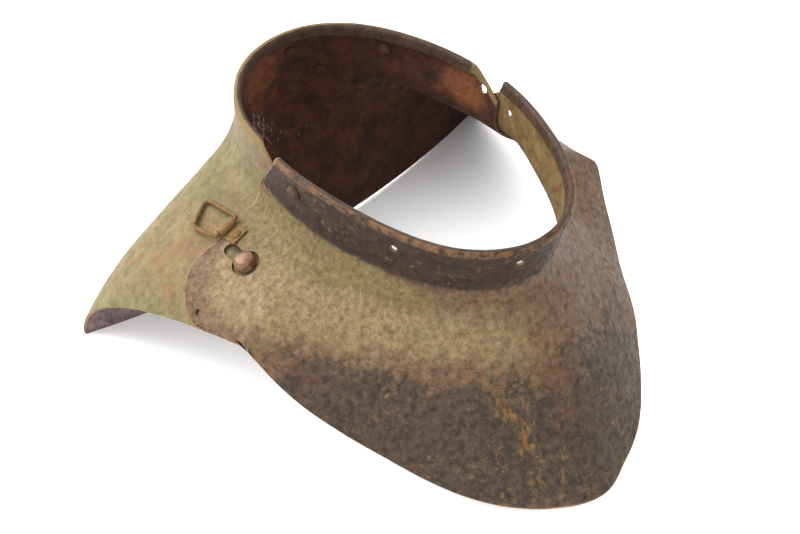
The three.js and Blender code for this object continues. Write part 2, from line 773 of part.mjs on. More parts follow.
const hemIn = layers.frontIn - hemFold; // the front rivet's end lies on the folded rim
frontRivets.forEach((spot) => addRivet(spot, { low: hemIn, high: layers.frontOut }));
backRivets.forEach((spot) => addRivet(spot, { low: layers.backIn, high: layers.backOut }));

// The origin is the middle of the gorget's footprint
const middle = new THREE.Box3().setFromObject(gorget).getCenter(new THREE.Vector3());
gorget.position.set(-middle.x, -middle.y, 0);
export default gorget;
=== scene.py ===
# Steel gorget: two plates of hammered sheet under old olive paint and brown rust, with a
# closing stud, rivets and a small strap loop, lying on a plain pale floor.
# The plates are worked out in millimetres about the middle of the neck: +Z is up, the wearer
# faces -Y and the wearer's left is +X. Everything in the scene is in metres.
import math

import bmesh
import bpy
import numpy as np
from mathutils import Matrix, Vector, kdtree, noise


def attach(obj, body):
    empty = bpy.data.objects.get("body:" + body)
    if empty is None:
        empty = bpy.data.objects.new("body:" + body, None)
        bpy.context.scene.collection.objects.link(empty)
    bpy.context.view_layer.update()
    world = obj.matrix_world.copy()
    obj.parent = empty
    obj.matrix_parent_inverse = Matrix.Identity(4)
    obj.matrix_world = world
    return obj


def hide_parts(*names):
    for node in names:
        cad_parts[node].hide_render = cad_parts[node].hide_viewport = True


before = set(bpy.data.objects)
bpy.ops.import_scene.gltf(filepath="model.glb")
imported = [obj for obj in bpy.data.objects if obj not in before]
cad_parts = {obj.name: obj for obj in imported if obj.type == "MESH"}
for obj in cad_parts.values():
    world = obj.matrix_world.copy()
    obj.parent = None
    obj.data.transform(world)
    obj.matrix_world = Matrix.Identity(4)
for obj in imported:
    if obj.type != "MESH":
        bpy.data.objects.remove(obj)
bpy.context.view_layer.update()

bl_info = {
    "name": "Steel Gorget",
    "version": (1, 0, 0),
    "blender": (4, 5, 0),
    "location": "View3D > Sidebar > Gorget",
    "description": "Builds a two-plate gorget of old painted sheet with its stud, rivets and loop",
    "category": "Object",
}

MM = 0.001
NECK = np.array([-0.07, 16.54, 0.0])  # middle of the neck from the middle of the footprint

# Sheet and fits, in millimetres
SHEET = 1.3
LAP_GAP = 0.5
FIT_GAP = 0.3
FRONT_LIFT = SHEET + LAP_GAP  # the front plate lies outside the back plate

# Collar
NECK_HALF_WIDTH = 56.5
NECK_FRONT = 95
NECK_BACK = 88
FRONT_PINCH = 0.04
BACK_PINCH = {"right": -0.04, "left": 0.02}
COLLAR_TOP = 111
COLLAR_LIFT = 6
COLLAR_DIP = 1.8
BEND_HEIGHT = 83
FRONT_LEAN = 11
SIDE_LEAN = {"right": 3, "left": 4.5}
BACK_LEAN = -10
BEND_UP = 9
BEND_OUT = 12
HEM_HEIGHT = 4.5
HEM_FOLD = 2.2
COLLAR_ROWS = 1 / (COLLAR_TOP - BEND_HEIGHT - BEND_UP)  # row number per millimetre of collar

# Flare
FRONT_REACH = 137.5
SHOULDER_HEIGHT = 62
FLARE_BELLY = 2
CORNER_BELLY = 6
BELLY_SHAPE = 5.4
BELLY_FROM = 75  # degrees from the front between which the bulge grows
BELLY_TO = 120
FAN_START = math.radians(90)
CORNER_FAN = math.radians(155)
REAR_EDGE = 75
REAR_BOW = 19
REAR_SKEW = 12
CORNER_HALF_WIDTH = 122
SIDE_BULGE = {"out": 125, "back": 70, "right_up": 46, "left_up": 8}
REAR_ARCH = 2
FLOOR_TRIM = 0.5

# Laps, measured backwards from the middle of the neck
FRONT_RIM_END = {"right": 6, "left": -2}
SEAM_CURVE = {"right": 1, "left": 2}
TAB_END = 25
TAB_REACH = {"right": 105, "left": 104}
TAB_TURN = 0.6
TAB_CORNER = {"right": 4, "left": 17}
LAP_CORNER = -4
BACK_RIM_END = {"right": 4, "left": 0}
BACK_LAP_END = -17
BACK_LAP_TURN = 0.4  # share of the flare over which the back plate reaches that
RIM_CUT_START = {"right": 20, "left": 16}
RIM_CUT_DEPTH = 12
FOLD_START = 3  # length of rim in which the fold starts beside a lap
LEAST_FOLD = 0.08


def named(columns, *rows):
    """The rows of a table as dictionaries with these column names."""
    return [dict(zip(columns.split(), row)) for row in rows]


# Outer edge of the front plate: reach and height as shares, by degrees from the front
FRONT_EDGE = named(
    "at right_reach left_reach right_height left_height",
    (0, 1.0, 1.0, -0.02, -0.02),
    (8, 0.975, 0.955, 0.01, 0.01),
    (16, 0.925, 0.908, 0.05, 0.04),
    (24, 0.865, 0.853, 0.11, 0.11),
    (32, 0.815, 0.8, 0.21, 0.22),
    (40, 0.78, 0.757, 0.33, 0.34),
    (50, 0.76, 0.706, 0.48, 0.48),
    (60, 0.752, 0.682, 0.64, 0.66),
    (68, 0.742, 0.676, 0.77, 0.82),
    (76, 0.73, 0.69, 0.9, 0.95),
)
EDGE_AT = np.array([row["at"] for row in FRONT_EDGE], float)
EDGE_END = math.radians(FRONT_EDGE[-1]["at"])

SOLVE_STEPS = 24
SHOULDER_FROM = math.radians(45)  # the sides of both plates end between these directions
SHOULDER_TO = math.radians(150)


def lerp(a, b, t):
    return a + (b - a) * t


def smoothstep(x, low, high):
    t = np.clip((x - low) / (high - low), 0, 1)
    return t * t * (3 - 2 * t)


def solve(rising, low, high):
    """Numbers between low and high where a rising function reaches zero."""
    a = np.asarray(low, float) + 0.0
    b = np.asarray(high, float) + 0.0
    for _ in range(SOLVE_STEPS):
        mid = 0.5 * (a + b)
        below = rising(mid) < 0
        a = np.where(below, mid, a)
        b = np.where(below, b, mid)
    return 0.5 * (a + b)


def azimuth(points):
    return np.arctan2(points[..., 0], -points[..., 1])


def from_polar(angle, r, z):
    angle, r, z = np.broadcast_arrays(angle, r, z)
    return np.stack([r * np.sin(angle), -r * np.cos(angle), z], axis=-1)


def oval(across, along, angle):
    """Radius of an oval that is a little flatter or fuller than an ellipse."""
    sine, cosine = np.sin(angle), np.cos(angle)
    behind = np.where(sine > 0, BACK_PINCH["left"], BACK_PINCH["right"])
    pinch = np.where(cosine > 0, FRONT_PINCH, behind)
    ellipse = across * along / np.hypot(along * sine, across * cosine)
    return ellipse * (1 - pinch * np.sin(2 * angle) ** 2)


def rim_points(angle):
    along = np.where(np.cos(angle) > 0, NECK_FRONT, NECK_BACK)
    side = np.sin(angle)
    lift = COLLAR_LIFT * (1 - side) - COLLAR_DIP * (1 + side)
    return from_polar(angle, oval(NECK_HALF_WIDTH, along, angle), COLLAR_TOP + 0.5 * lift * side**2)


def bend_points(angle):
    along = np.where(np.cos(angle) > 0, NECK_FRONT - FRONT_LEAN, NECK_BACK - BACK_LEAN)
    lean = np.where(np.sin(angle) > 0, SIDE_LEAN["left"], SIDE_LEAN["right"])
    return from_polar(angle, oval(NECK_HALF_WIDTH - lean, along, angle), BEND_HEIGHT)


def edge_values(column, degrees):
    """Values of a column of the edge table, with an eased curve between its rows."""
    value = np.array([row[column] for row in FRONT_EDGE])
    last = len(value) - 1
    k = np.clip(np.searchsorted(EDGE_AT, degrees) - 1, 0, last - 1)
    before = np.maximum(k - 1, 0)
    after = np.minimum(k + 2, last)
    span = EDGE_AT[k + 1] - EDGE_AT[k]
    t = np.clip((degrees - EDGE_AT[k]) / span, 0, 1)
    a, b = value[k], value[k + 1]
    slope_a = np.where(k > 0, (b - value[before]) / (EDGE_AT[k + 1] - EDGE_AT[before]) * span, 0)
    slope_b = (value[after] - a) / (EDGE_AT[after] - EDGE_AT[k]) * span
    ease = t * t * (3 - 2 * t)
    return a + (b - a) * ease + slope_a * t * (1 - t) ** 2 - slope_b * t * t * (1 - t)


def back_corner(side):
    return np.array([side * CORNER_HALF_WIDTH, REAR_EDGE + REAR_BOW + side * REAR_SKEW, -FLOOR_TRIM])


def side_edge(side):
    """Control points of the back plate's edge from a corner to the front plate's edge."""
    left = side > 0
    reach = FRONT_REACH * FRONT_EDGE[-1]["left_reach" if left else "right_reach"]
    height = SHOULDER_HEIGHT * FRONT_EDGE[-1]["left_height" if left else "right_height"]
    shoulder = [side * reach * math.sin(EDGE_END), -reach * math.cos(EDGE_END), height]
    up = SIDE_BULGE["left_up" if left else "right_up"]
    pull = [side * SIDE_BULGE["out"], SIDE_BULGE["back"], up]
    return np.array([back_corner(side), pull, shoulder])


SIDE_EDGES = {"right": side_edge(-1), "left": side_edge(1)}


def curve_points(control, t):
    """Points of a quadratic curve whose three control points may differ from point to point."""
    t = np.asarray(t, float)[..., None]
    first, pull, last = control[..., 0, :], control[..., 1, :], control[..., 2, :]
    return (1 - t) ** 2 * first + 2 * t * (1 - t) * pull + t * t * last


def rear_line(x):
    share = x / CORNER_HALF_WIDTH
    return REAR_EDGE + REAR_BOW * share * share + REAR_SKEW * share


def outer_points(angle):
    """Where the sheet would end in each direction: front edge, side edge or rear edge."""
    size = np.abs(angle)
    left = angle > 0
    degrees = np.degrees(np.minimum(size, EDGE_END))
    reach = np.where(left, edge_values("left_reach", degrees), edge_values("right_reach", degrees))
    height = np.where(left, edge_values("left_height", degrees), edge_values("right_height", degrees))
    front = from_polar(angle, FRONT_REACH * reach, SHOULDER_HEIGHT * height)

    control = np.where(left[:, None, None], SIDE_EDGES["left"], SIDE_EDGES["right"])
    t = solve(lambda s: size - np.abs(azimuth(curve_points(control, s))), 0 * size, 1 + 0 * size)
    side = curve_points(control, t)

    far = 2 * CORNER_HALF_WIDTH
    behind = np.minimum(np.cos(angle), -0.1)
    reach = solve(lambda r: -r * behind - rear_line(r * np.sin(angle)), 1 + 0 * size, far + 0 * size)
    share = reach * np.sin(angle) / CORNER_HALF_WIDTH
    rear = from_polar(angle, reach, REAR_ARCH * (1 - share * share) - FLOOR_TRIM)

    corner = np.where(left, abs(azimuth(back_corner(1))), abs(azimuth(back_corner(-1))))
    outer = np.where((size <= corner)[:, None], side, rear)
    return np.where((size <= EDGE_END)[:, None], front, outer)


def bend_angles(angle):
    """The sheet is ruled from the bend to its edge, towards the corners behind the shoulders."""
    size = np.abs(angle)
    side = np.where(angle > 0, 1, -1)
    corner = np.where(angle > 0, abs(azimuth(back_corner(1))), abs(azimuth(back_corner(-1))))
    t = (size - FAN_START) / (corner - FAN_START)
    swung = size + (CORNER_FAN - corner) * t * t
    behind = lerp(CORNER_FAN, math.pi, (size - corner) / (math.pi - corner))
    turned = np.where(size <= corner, swung, behind)
    return side * np.where(size <= FAN_START, size, turned)


LINE_COUNT = 2881  # the form is worked out on this many lines and blended between them
LINE_ANGLES = np.linspace(-math.pi, math.pi, LINE_COUNT)


def ruled_lines(angle):
    """The lines in which the sheet is ruled, from the rim over the bend to the outer edge."""
    inner = bend_angles(angle)
    rim, bend, outer = rim_points(inner), bend_points(inner), outer_points(angle)
    length = np.linalg.norm
    top = bend + (rim - bend) * (BEND_UP / length(rim - bend, axis=1))[:, None]
    foot = bend + (outer - bend) * (BEND_OUT / length(outer - bend, axis=1))[:, None]
    run = outer - foot
    level = np.hypot(run[:, 0], run[:, 1])
    grown = smoothstep(np.degrees(np.abs(angle)), BELLY_FROM, BELLY_TO)
    belly = lerp(FLARE_BELLY, CORNER_BELLY, grown)
    proud = np.stack([-run[:, 0] * run[:, 2] / level, -run[:, 1] * run[:, 2] / level, level], axis=1)
    proud *= (belly / length(run, axis=1))[:, None]
    return np.stack([rim, top, bend, foot, run, proud], axis=1)


LINES = ruled_lines(LINE_ANGLES)


def line_at(angle):
    place = np.mod(angle + math.pi, 2 * math.pi) / (2 * math.pi) * (LINE_COUNT - 1)
    low = np.clip(np.floor(place).astype(int), 0, LINE_COUNT - 2)
    share = (place - low)[..., None, None]
    return LINES[low] * (1 - share) + LINES[low + 1] * share


def form_points(angle, row):
    """Middle of the sheet. Rows run from 0 at the rim to 1 and 2 round the bend and 3 at the edge."""
    angle, row = np.broadcast_arrays(np.asarray(angle, float), np.asarray(row, float))
    line = line_at(angle)
    rim, top, bend, foot, run, proud = (line[..., k, :] for k in range(6))
    row = row[..., None]
    collar = rim + (top - rim) * row
    t = np.clip(row - 1, 0, 1)
    round_bend = (1 - t) ** 2 * top + 2 * t * (1 - t) * bend + t * t * foot
    t = np.clip(row - 2, 0, None)
    flare = foot + run * t + proud * (BELLY_SHAPE * t**1.5 * (1 - t))
    return np.where(row <= 1, collar, np.where(row <= 2, round_bend, flare))


NORMAL_STEP = 0.002


def form_normals(angle, row):
    step = NORMAL_STEP
    low = np.minimum(row, 3 - step)
    across = form_points(angle + step, row) - form_points(angle - step, row)
    down = form_points(angle, low + step) - form_points(angle, np.maximum(low - step, 0))
    normal = -np.cross(across, down)
    return normal / np.linalg.norm(normal, axis=-1, keepdims=True)


def angle_at_y(side, row, y):
    """Angle on one side of the neck where a row reaches a distance behind the middle."""
    row = np.asarray(row, float)
    return side * solve(
        lambda a: form_points(side * a, row)[..., 1] - y, SHOULDER_FROM + 0 * row, SHOULDER_TO + 0 * row
    )


def place_at(angle, row):
    """A point of the sheet and its normal."""
    return Vector(form_points(angle, row)), Vector(form_normals(angle, row))


def place_where(wanted, row_at):
    """The place in this direction from the middle of the neck, on the row that row_at finds."""
    side = 1 if wanted > 0 else -1
    size = abs(wanted)
    angle = side * solve(
        lambda a: abs(azimuth(form_points(side * a, row_at(side * a)))) - size, 0.01, math.pi - 0.01
    )
    return place_at(angle, row_at(angle))


def on_flare(x, y):
    """The place of the flare above a point of the floor."""
    reach = math.hypot(x, y)

    def row_at(angle):
        return solve(lambda row: np.hypot(*form_points(angle, row)[..., :2]) - reach, 1.2, 3)

    return place_where(math.atan2(x, -y), row_at)


def on_collar(degrees, drop):
    """A place in this direction, a share of the collar's height below its rim."""
    height = COLLAR_TOP - drop * (COLLAR_TOP - BEND_HEIGHT)
    return place_where(
        math.radians(degrees),
        lambda angle: solve(lambda row: height - form_points(angle, row)[..., 2], 0, 2),
    )


# Pins and holes, in millimetres: directions in degrees from the front and drops below the rim
# as shares of the collar's height
STUD = {"shank": 2.4, "head": 5.8, "rise": 5.0, "end": 4.2}
STUD_WORN = {**STUD, "head": 5.1, "rise": 4.3}  # its head is worn to a pebble
PIVOT = {"shank": 2.4, "head": 4.6, "rise": 2.4, "end": 4.2}
PIN_OUT = 77.5  # stud and pivot lie this far to either side of the neck's middle
PIN_BACK = 3.8  # and this far behind it
KEY_AIR = 0.5  # the keyhole's round is this much wider than the stud's head
SLOT_RUN = 11.6
SLOT_HALF = 3.1
COLLAR_RIVET = {"shank": 1.4, "head": 3.4, "rise": 1.8, "end": 2.9}
FRONT_RIVETS = named("name at drop", ("front_rivet", -83.5, 0.09))
BACK_RIVETS = named(
    "name at drop",
    ("back_rivet_left", 148, 0.375),
    ("back_rivet_middle", 176.5, 0.482),
    ("back_rivet_low", 167.5, 1.018),
)
FRONT_HOLES = named(
    "at drop radius",
    (-37, 0.232, 1.5),
    (-31.4, 0.482, 0.6),
    (-4.8, 0.286, 1.5),
    (82.5, 0.518, 1.4),
)
BACK_HOLES = named("at drop radius", (100, 0.368, 2.2))
TAB_HOLE = {"margin": 3.6, "back": 5.5, "radius": 1.4}
STUD_PLACE = on_flare(-PIN_OUT, PIN_BACK)
PIVOT_PLACE = on_flare(PIN_OUT, PIN_BACK)
TAB_HOLE_PLACE = on_flare(TAB_HOLE["margin"] - TAB_REACH["right"], TAB_HOLE["back"])
HOLE_DEPTH = 6
RAGGED = 0.2  # share by which rust has eaten their round
RUSTED_OPEN = 0.35  # the front holes are rusted wider than they were drilled


# Columns and rows of the plates
CREST_STEPS = 6
LEG_ROWS = 4
WALL_ROWS = 12
BEND_ROWS = 9
FLARE_ROWS = 36
CREST_DROP = 0.7  # the fold's roll starts this far below the rim
LEG_TOP = 0.2  # share of the fold's height where its leg meets the roll


def sheet_rows():
    """Rows of a plate from the folded edge inside, over the rim and down to the outer edge.

    Each has its row number, how far it is folded in as a share of the fold, and how far it
    rises over the roll, in millimetres."""
    start = CREST_DROP * COLLAR_ROWS
    hem = HEM_HEIGHT * COLLAR_ROWS
    rows = [(lerp(hem, start, k / LEG_ROWS), 1.0, 0.0) for k in range(LEG_ROWS)]
    for k in range(CREST_STEPS + 1):
        turn = math.pi * k / CREST_STEPS
        rows.append((start, 0.5 + 0.5 * math.cos(turn), math.sin(turn)))
    rows += [(lerp(start, 1, k / WALL_ROWS), 0.0, 0.0) for k in range(1, WALL_ROWS + 1)]
    rows += [(1 + k / BEND_ROWS, 0.0, 0.0) for k in range(1, BEND_ROWS + 1)]
    rows += [(2 + k / FLARE_ROWS, 0.0, 0.0) for k in range(1, FLARE_ROWS + 1)]
    return rows


def rounded_end(share, straight, corner):
    """How far back a plate's side ends, for a share of its flare."""
    t = (share - TAB_TURN) / (1 - TAB_TURN)
    if t <= 0:
        return straight
    return corner + (straight - corner) * math.sqrt(max(1 - t * t, 0))


def outer_reach(angle):
    """How far from the middle of the neck the sheet would end."""
    line = line_at(angle)
    return np.hypot(*(line[..., 3, :] + line[..., 4, :])[..., :2].T)


def front_edge_rows(angle):
    """Row numbers at which the front plate ends, which its tabs cut short."""
    reach = np.where(angle > 0, TAB_REACH["left"], TAB_REACH["right"])

    def over(row):
        points = form_points(angle, row)
        return np.hypot(points[..., 0], points[..., 1]) - reach

    cut = solve(over, 2 + 0 * angle, 3 + 0 * angle)
    whole = (np.abs(angle) <= EDGE_END) | (outer_reach(angle) <= reach)
    return np.where(whole, 3.0, cut)


FRONT_COLUMNS = 190


def front_grid():
    """Angles and row numbers of the front plate, one line for each of its rows."""
    shares = np.linspace(-1, 1, FRONT_COLUMNS + 1)
    angles, numbers = [], []
    for row, _, _ in sheet_rows():
        angle = np.zeros_like(shares)
        for side, name in ((-1, "right"), (1, "left")):
            if row <= 2:
                end_y = lerp(FRONT_RIM_END[name], TAB_END, min(row, 1) ** SEAM_CURVE[name])
                end = angle_at_y(side, row, end_y)
            else:
                flare = row - 2
                end_y = rounded_end(flare, TAB_END, TAB_CORNER[name])

                def short(a):
                    at = np.atleast_1d(side * a)
                    number = 2 + flare * (front_edge_rows(at) - 2)
                    return form_points(at, number)[0, 1] - end_y

                end = side * solve(short, SHOULDER_FROM, SHOULDER_TO)
            angle = np.where(np.sign(shares) == side, np.abs(shares) * end, angle)
        angles.append(angle)
        flare = max(row - 2, 0)
        numbers.append(2 + flare * (front_edge_rows(angle) - 2) if row > 2 else 0 * angle + row)
    return np.array(angles), np.array(numbers), np.ones((len(angles), len(shares)))


SIDE_COLUMNS = 34
REAR_COLUMNS = 76


def back_grid():
    """The same for the back plate, and how much of the fold it has: none under the laps."""
    side_shares = np.arange(SIDE_COLUMNS) / SIDE_COLUMNS
    right = azimuth(curve_points(SIDE_EDGES["right"], 1 - side_shares))
    x = np.linspace(-CORNER_HALF_WIDTH, CORNER_HALF_WIDTH, REAR_COLUMNS + 1)
    rear = np.arctan2(x, -rear_line(x))
    left = azimuth(curve_points(SIDE_EDGES["left"], (np.arange(SIDE_COLUMNS) + 1) / SIDE_COLUMNS))
    plain = np.concatenate([right, rear, left])
    on_right = np.arange(len(plain)) < SIDE_COLUMNS
    on_left = np.arange(len(plain)) > SIDE_COLUMNS + REAR_COLUMNS

    def shifted(row, ends):
        angle = plain.copy()
        for side, name, here in ((-1, "right", on_right), (1, "left", on_left)):
            corner = azimuth(back_corner(side))
            last = azimuth(SIDE_EDGES[name][2])
            end = angle_at_y(side, row, ends[name])
            angle = np.where(here, corner + (plain - corner) * (end - corner) / (last - corner), angle)
        return angle

    angles, numbers = [], []
    for row, _, _ in sheet_rows():
        if row <= 2:
            ends = BACK_RIM_END
        else:
            share = min((row - 2) / BACK_LAP_TURN, 1)
            ends = {
                name: rounded_end(row - 2, lerp(start, BACK_LAP_END, share), LAP_CORNER)
                for name, start in BACK_RIM_END.items()
            }
        angle = shifted(row, ends)
        number = 0 * angle + row
        if row < 1:
            y = form_points(angle, row)[..., 1]
            name = np.where(np.sin(angle) > 0, "left", "right")
            start = np.where(name == "left", RIM_CUT_START["left"], RIM_CUT_START["right"])
            end = np.where(name == "left", BACK_RIM_END["left"], BACK_RIM_END["right"])
            cut = RIM_CUT_DEPTH * COLLAR_ROWS * np.clip((start - y) / (start - end), 0, 1)
            number = row + (1 - row) * cut
        angles.append(angle)
        numbers.append(number)
    rim = form_points(angles[0], 0)
    start = np.where(np.sin(angles[0]) > 0, RIM_CUT_START["left"], RIM_CUT_START["right"])
    fold = np.clip((rim[..., 1] - start) / FOLD_START, LEAST_FOLD, 1)
    return np.array(angles), np.array(numbers), np.broadcast_to(fold, (len(angles), len(plain)))


# Dents and dimples: direction in degrees, distance down from the rim and size in millimetres
DENTS = named(
    "at down round along deep",
    (-42.0, 82.0, 6.0, 5.0, 1.2),
    (20.0, 70.0, 16.0, 12.0, 0.9),
    (-15.0, 55.0, 14.0, 14.0, -0.7),
    (-60.0, 60.0, 12.0, 10.0, 0.7),
    (-120.0, 80.0, 16.0, 12.0, 0.8),
    (150.0, 85.0, 20.0, 14.0, 0.8),
)
BROAD = {"wave": 46.0, "deep": 0.55}
HAMMER = {"wave": 15.0, "deep": 0.22}
PITTED = {"wave": 4.5, "deep": 0.05}
CALM = 11.0  # dents fade out this close to a pin, so that it sits as it should
FLOOR_CALM = 12.0  # and this close to the floor
SEED_STEP = (17.3, 5.1, 9.7)


def wave(points, length, seed):
    """Smooth noise between -1 and 1 at each point."""
    offset = Vector([seed * step for step in SEED_STEP])
    flat = points.reshape(-1, 3) / length
    values = [noise.noise(Vector(p) + offset) for p in flat]
    return np.array(values).reshape(points.shape[:-1])


def bell(around, reach, down, spot):
    """How strongly a dent or patch is felt: 1 in its middle and nothing well outside it."""
    turn = (around - spot["at"] + 180) % 360 - 180
    across = np.radians(turn) * reach / spot["round"]
    along = (down - spot["down"]) / spot["along"]
    return np.exp(-(across**2) - along**2)


def dent_depth(points, down):
    """How far the sheet is pushed in or out, the same for both plates where they lap."""
    depth = BROAD["deep"] * wave(points, BROAD["wave"], 1)
    depth += HAMMER["deep"] * wave(points, HAMMER["wave"], 2)
    depth += PITTED["deep"] * wave(points, PITTED["wave"], 3)
    around = np.degrees(azimuth(points))
    reach = np.hypot(points[..., 0], points[..., 1])
    for dent in DENTS:
        depth -= dent["deep"] * bell(around, reach, down, dent)
    spots = [STUD_PLACE[0], PIVOT_PLACE[0], HANGER_PLACE[0]]
    spots += [on_collar(r["at"], r["drop"])[0] for r in FRONT_RIVETS + BACK_RIVETS]
    for spot in spots:
        away = np.linalg.norm(points - np.array(spot), axis=-1)
        depth *= 1 - np.exp(-((away / CALM) ** 2))
    return depth * smoothstep(points[..., 2], 0, FLOOR_CALM)


# The strap loop's hanger: its place out from and behind the neck's middle
HANGER_OUT = 71.9
HANGER_BACK = 20.2
HANGER_PLACE = on_flare(-HANGER_OUT, HANGER_BACK)
STRIP_ROUNDING = 0.18 * MM


def to_scene(points):
    """From millimetres about the neck to metres about the footprint's middle."""
    return (np.asarray(points, float) + NECK) * MM


def plate_sheet(name, grid, layer):
    """The middle of a plate's sheet as a grid of bent quads, with what is known of each place."""
    angles, numbers, fold = grid
    rows = sheet_rows()
    base = form_points(angles, numbers)
    normal = form_normals(angles, numbers)
    fold_in = np.array([share for _, share, _ in rows])[:, None] * HEM_FOLD * fold
    rise = np.array([up for _, _, up in rows])[:, None] * HEM_FOLD / 2 * fold
    outside = base[LEG_ROWS + CREST_STEPS :]
    steps = np.linalg.norm(np.diff(outside, axis=0), axis=-1)
    down = np.zeros(base.shape[:2])
    down[LEG_ROWS + CREST_STEPS + 1 :] = np.cumsum(steps, axis=0)
    down[:LEG_ROWS] = HEM_HEIGHT * np.linspace(1, LEG_TOP, LEG_ROWS)[:, None]
    shape = dent_depth(base, down)
    places = base + normal * (layer + shape - fold_in)[..., None]
    places[..., 2] += rise
    to_edge = down[-1] - down
    along = np.linalg.norm(np.diff(base, axis=1), axis=-1)
    from_start = np.concatenate([np.zeros((len(rows), 1)), np.cumsum(along, axis=1)], axis=1)
    to_side = np.minimum(from_start, from_start[:, -1:] - from_start)
    facts = {
        "down": down,
        "edge": np.minimum(to_edge, to_side),
        "leg": np.broadcast_to(smoothstep(fold_in / HEM_FOLD, 0.3, 0.7), down.shape),
    }

    columns, count = places.shape[1] - 1, places.shape[0] - 1
    mesh = bmesh.new()
    bmesh.ops.create_grid(mesh, x_segments=columns, y_segments=count, size=1.0)
    for vert in mesh.verts:
        column = round((vert.co.x + 1) / 2 * columns)
        row = count - round((vert.co.y + 1) / 2 * count)
        vert.co = Vector(to_scene(places[row, column]))
    bmesh.ops.recalc_face_normals(mesh, faces=mesh.faces)
    axis = Vector(NECK) * MM
    outwards = sum(face.normal.dot(face.calc_center_median() - axis) for face in mesh.faces)
    if outwards < 0:
        bmesh.ops.reverse_faces(mesh, faces=mesh.faces)
    piece = object_from(name, mesh)
    samples = to_scene(base + normal * (layer - fold_in)[..., None]).reshape(-1, 3)
    return piece, samples, {key: np.asarray(value).reshape(-1) for key, value in facts.items()}


def object_from(name, mesh):
    data = bpy.data.meshes.new(name)
    mesh.to_mesh(data)
    mesh.free()
    piece = bpy.data.objects.new(name, data)
    bpy.context.scene.collection.objects.link(piece)
    return piece


def frame_on(place, towards):
    """A frame on the sheet: Z stands off it and X points towards a direction."""
    point, up = place
    towards = Vector(towards)
    along = (towards - up * towards.dot(up)).normalized()
    across = up.cross(along)
    turn = Matrix((along, across, up)).transposed().to_4x4()
    return Matrix.Translation(Vector(to_scene(point))) @ turn @ Matrix.Scale(MM, 4)


def down_slope(place):
    return Vector((0, 0, -1)) + place[1] * place[1].z


def bore(name, place, radius, sides=28, ragged=0.0, shift=(0, 0), towards=None):
    """A drill through the sheet, its round a little ragged where rust has eaten the hole."""
    mesh = bmesh.new()
    bmesh.ops.create_cone(
        mesh, cap_ends=True, segments=sides, radius1=radius, radius2=radius, depth=2 * HOLE_DEPTH
    )
    for vert in mesh.verts:
        turn = math.atan2(vert.co.y, vert.co.x)
        spot = Vector((math.cos(turn), math.sin(turn), radius * 3.0))
        stretch = 1 + ragged * noise.noise(spot * 1.7)
        vert.co.x = vert.co.x * stretch + shift[0]
        vert.co.y = vert.co.y * stretch + shift[1]
    mesh.transform(frame_on(place, towards if towards else down_slope(place)))
    return object_from(name, mesh)


def rivet_holes(rivets):
    radius = COLLAR_RIVET["shank"] + FIT_GAP
    return [bore(spot["name"] + "_hole", on_collar(spot["at"], spot["drop"]), radius) for spot in rivets]


def open_holes(name, holes, rusted):
    """Drills for the holes that nothing sits in."""
    cutters = []
    for index, spot in enumerate(holes):
        place = on_collar(spot["at"], spot["drop"])
        cutters.append(bore(f"{name}_{index}", place, spot["radius"] + rusted, ragged=RAGGED))
    return cutters


def key_slot():
    """Drill for the straight part of the keyhole, which runs backwards from the stud."""
    mesh = bmesh.new()
    bmesh.ops.create_cube(mesh, size=1.0)
    bmesh.ops.scale(mesh, vec=(SLOT_RUN, 2 * SLOT_HALF, 2 * HOLE_DEPTH), verts=mesh.verts)
    bmesh.ops.translate(mesh, vec=(SLOT_RUN / 2, 0, 0), verts=mesh.verts)
    mesh.transform(frame_on(STUD_PLACE, (0, 1, 0)))
    return object_from("key_slot", mesh)


def baked(piece):
    """Replaces a piece's mesh by what its modifiers make of it."""
    bpy.context.view_layer.update()
    graph = bpy.context.evaluated_depsgraph_get()
    data = bpy.data.meshes.new_from_object(
        piece.evaluated_get(graph), preserve_all_data_layers=True, depsgraph=graph
    )
    piece.modifiers.clear()
    piece.data = data


def round_edges(piece, width):
    bevel = piece.modifiers.new("rounding", "BEVEL")
    bevel.limit_method = "ANGLE"
    bevel.angle_limit = math.radians(50)
    bevel.width = width
    bevel.segments = 2
    bevel.profile = 0.5
    baked(piece)


def cut_and_thicken(piece, cutters, materials, rounding):
    """Gives a sheet its thickness, drills it, and rounds its edges."""
    for material in materials:
        piece.data.materials.append(material)
    thick = piece.modifiers.new("thickness", "SOLIDIFY")
    thick.thickness = SHEET * MM
    thick.offset = 0.0
    thick.use_even_offset = True
    thick.material_offset = 1
    thick.material_offset_rim = 2
    for cutter in cutters:
        for _ in range(3):
            cutter.data.materials.append(materials[2])
        for face in cutter.data.polygons:
            face.material_index = 2
        cut = piece.modifiers.new(cutter.name, "BOOLEAN")
        cut.operation = "DIFFERENCE"
        cut.solver = "MANIFOLD"
        cut.object = cutter
    round_edges(piece, rounding)
    for cutter in cutters:
        bpy.data.objects.remove(cutter)
    for vert in piece.data.vertices:
        vert.co.z = max(vert.co.z, 0.0)
    smooth(piece, 40)


def smooth(piece, degrees):
    """Smooth shading that breaks where faces meet at more than this angle."""
    piece.data.shade_smooth()
    piece.data.set_sharp_from_angle(angle=math.radians(degrees))


DEPTH = 0.42  # every finish is this much deeper than it looks, because the room is bright


def tint(red, green, blue):
    """A paint mixed on a screen from 0 to 255, as the linear colour that a shader wants."""

    def linear(value):
        value /= 255
        return value / 12.92 if value <= 0.04045 else ((value + 0.055) / 1.055) ** 2.4

    return (DEPTH * linear(red), DEPTH * linear(green), DEPTH * linear(blue), 1.0)


COAT_DETAIL = 8.0  # how finely a coat's broken edge is drawn
VIEWPORT_COLOUR = (0.3, 0.27, 0.2, 1.0)


